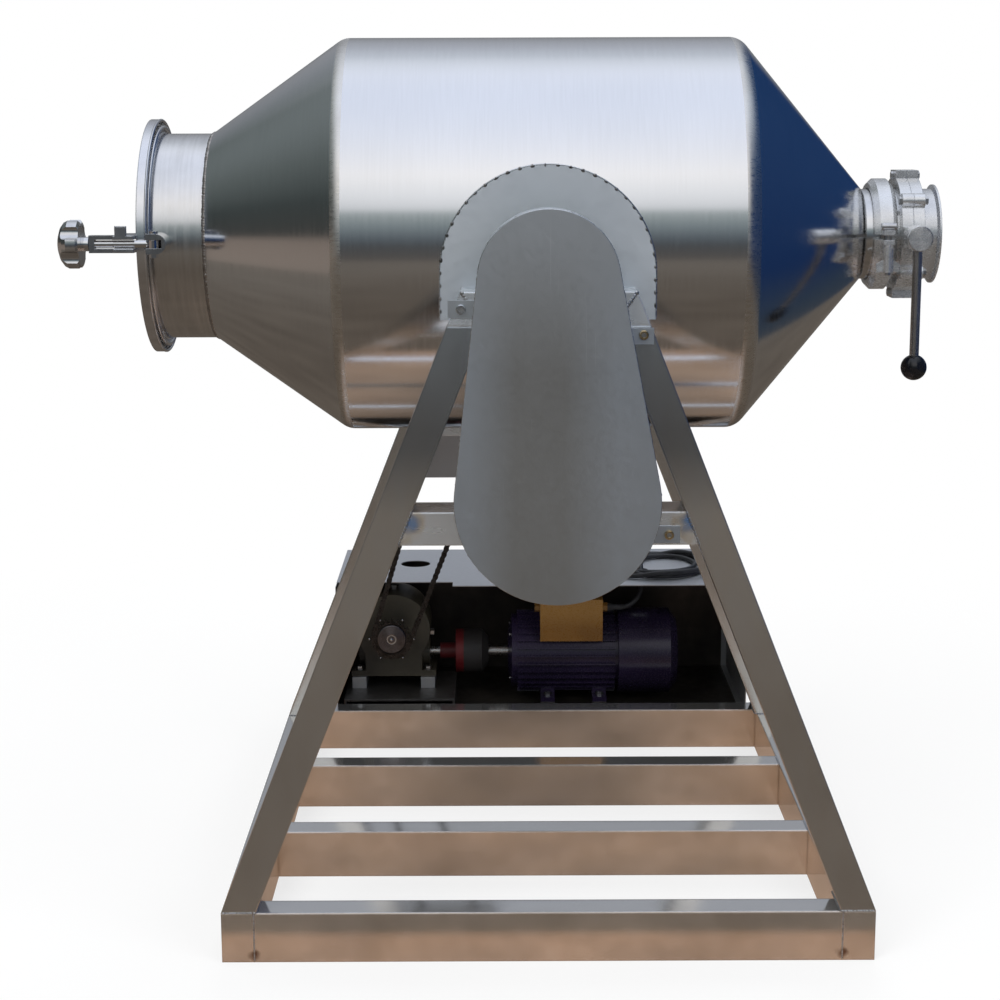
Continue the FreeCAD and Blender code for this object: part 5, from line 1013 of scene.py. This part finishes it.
# painted reflection: the rails' tan tone mirrors brown ground and faces that look up stay a neutral grey; the
# dark marks at the front corners are real scorch stains
rail_steel = steel("rail_steel", (0.88, 0.79, 0.71), (0.74, 0.65, 0.56), 0.11, grain_scale=30,
                   grain_bump=0.010, blotch=11, round_edges=0.005, metallic=0.93, top=(0.80, 0.80, 0.80),
                   stains=((scorch, 0.011, rail_corners),))
guard_steel = guard_sheet()
plate_steel = steel("plate_steel", (0.64, 0.65, 0.67), (0.60, 0.61, 0.63), 0.42, grain_scale=120,
                    grain_bump=0.006, blotch=1.6, round_edges=0.0008, metallic=0.93)
shroud_steel = steel("shroud_steel", (0.62, 0.66, 0.70), (0.58, 0.62, 0.67), 0.42, grain_scale=120,
                     grain_bump=0.006, blotch=2, round_edges=0.0008, metallic=0.65)
bare_steel = steel("bare_steel", (0.72, 0.72, 0.72), (0.52, 0.51, 0.50), 0.28, grain_scale=90,
                   round_edges=0.0006, blotch=30)
polished = steel("polished_steel", (0.76, 0.76, 0.76), (0.60, 0.60, 0.60), 0.13, grain_scale=120,
                 grain_bump=0.02, round_edges=0.0008, blotch=18)
rod_steel = steel("rod_steel", (0.46, 0.45, 0.44), (0.36, 0.35, 0.34), 0.24, grain=(1, 1, 0.1),
                  grain_scale=150, grain_bump=0.03, blotch=20, metallic=0.95)
valve_steel = steel("valve_steel", (0.80, 0.81, 0.82), (0.64, 0.64, 0.64), 0.24, grain=(1, 3, 3),
                    grain_bump=0.02, blotch=20, round_edges=0.0012, metallic=0.84)
hub_steel = steel("hub_steel", (0.26, 0.23, 0.22), (0.15, 0.13, 0.125), 0.40, grain_scale=200, grain_bump=0.1,
                  blotch=50)
bead_steel = steel("weld_bead", (0.62, 0.58, 0.54), (0.22, 0.19, 0.17), 0.36, grain_scale=200, grain_bump=0.3,
                   blotch=60)
bright_bead = steel("bright_bead", (0.74, 0.76, 0.78), (0.44, 0.43, 0.42), 0.30, grain_scale=200,
                    grain_bump=0.2, blotch=60)
# rim_steel is near-white: on the guard's and shroud's edge rods it is a painted highlight
rim_steel = steel("rim_steel", (0.88, 0.90, 0.92), (0.62, 0.63, 0.64), 0.24, grain_scale=160, grain_bump=0,
                  blotch=25)
roll_steel = steel("roll_steel", (0.80, 0.81, 0.82), (0.66, 0.66, 0.67), 0.20, grain_bump=0, blotch=8)
tack_steel = steel("tack_steel", (0.46, 0.44, 0.42), (0.05, 0.045, 0.04), 0.34, grain_scale=300,
                   grain_bump=0.3, blotch=45)
chain_steel = steel("chain_steel", (0.085, 0.080, 0.078), (0.030, 0.028, 0.027), 0.30, grain_scale=300,
                    blotch=90)
brass_steel = steel("brass_steel", (0.74, 0.58, 0.34), (0.50, 0.36, 0.18), 0.24, grain_scale=90,
                    round_edges=0.0006, blotch=60)
green = coat("bearing_green", (0.10, 0.20, 0.16), (0.06, 0.13, 0.10), 0.40, orange_peel=0.3)
olive = coat("gearbox_olive", (0.060, 0.052, 0.036), (0.030, 0.026, 0.019), 0.46, orange_peel=0.5)
purple = coat("motor_purple", (0.018, 0.012, 0.034), (0.010, 0.007, 0.020), 0.26, orange_peel=0.1)
# painted light: the terminal box turns lighter above 0.215 to 0.25 m up
ochre = coat("box_ochre", (0.22, 0.100, 0.016), (0.13, 0.056, 0.009), 0.28, orange_peel=0.1,
             high=((0.23, 0.115, 0.026), 0.215, 0.250))
red = coat("coupling_red", (0.11, 0.007, 0.009), (0.05, 0.004, 0.005), 0.45, orange_peel=0.4)
black = coat("black_plastic", (0.007, 0.007, 0.008), (0.004, 0.004, 0.005), 0.14, orange_peel=0.02)
black_iron = coat("black_iron", (0.024, 0.022, 0.022), (0.011, 0.010, 0.010), 0.5, orange_peel=0.5)
white_rubber = coat("white_rubber", (0.80, 0.79, 0.75), (0.72, 0.71, 0.67), 0.55, scale=20)

# The solids' finishes

dress(rail_steel, "base_side_rails", "base_cross_rails")
dress(frame_steel, "front_legs", "rear_legs")
dress(mount_steel, "drive_mounts")
dress(bar_steel, "frame_crossbars", "frame_top_bars")
dress(green, "bearing_housings")
dress(bare_steel, "bearing_outer_rings", "bearing_inner_rings", "bearing_balls", "bearing_bolts",
      "drive_bolts", "guard_bolts", "valve_bolts", "motor_rotor", "output_shaft", "worm_shaft")
dress(guard_steel, "front_guard")
dress(plate_steel, "chain_guard", "housing_top")
dress(shroud_steel, "front_shroud")
dress(wall_steel(), "housing_walls", "housing_floor")
dress(olive, "gearbox_body")
dress(purple, "motor_body", "motor_fan_cover")
dress(ochre, "terminal_box")
dress(chain_steel, "drive_chain", "drum_sprocket", "drive_sprocket")
dress(drum_steel, "trunnions")
dress(neck_steel, "loading_neck")
dress(lid_steel, "lid")
dress(polished, "discharge_ferrule", "clamp_clevises", "clamp_pins", "valve_disc", "front_clamp_bolt",
      "rear_clamp_bolt", "front_yoke", "rear_yoke", "front_knob", "rear_knob")
dress(valve_steel, "valve_clamp", "valve_body", "valve_wing_nut", "valve_hub")
dress(rod_steel, "handle_rod")
dress(white_rubber, "valve_seat", "lid_gasket")
dress(black, "handle_ball")
dress(red, "gearbox_coupling")
dress(black_iron, "motor_coupling")

# New pieces over the solids

make_drum(drum_steel, band_steel)
weld("neck_weld", ring_places(-0.553, 0.1735, 0.0045, lean=-0.5), (0.0040, 0.0036, 0.0022), bead_steel,
     "drum")
make_boss_welds(bead_steel)
make_frame_welds(bright_bead)
make_guard_edges(rim_steel, tack_steel)
make_guard_bolts(rim_steel, brass_steel, tack_steel)
make_lid_edges(roll_steel)
make_hub_face(rod_steel)
make_drive_details(polished, hub_steel)
make_chain(chain_steel)

bpy.context.scene.view_settings.view_transform = "Standard"
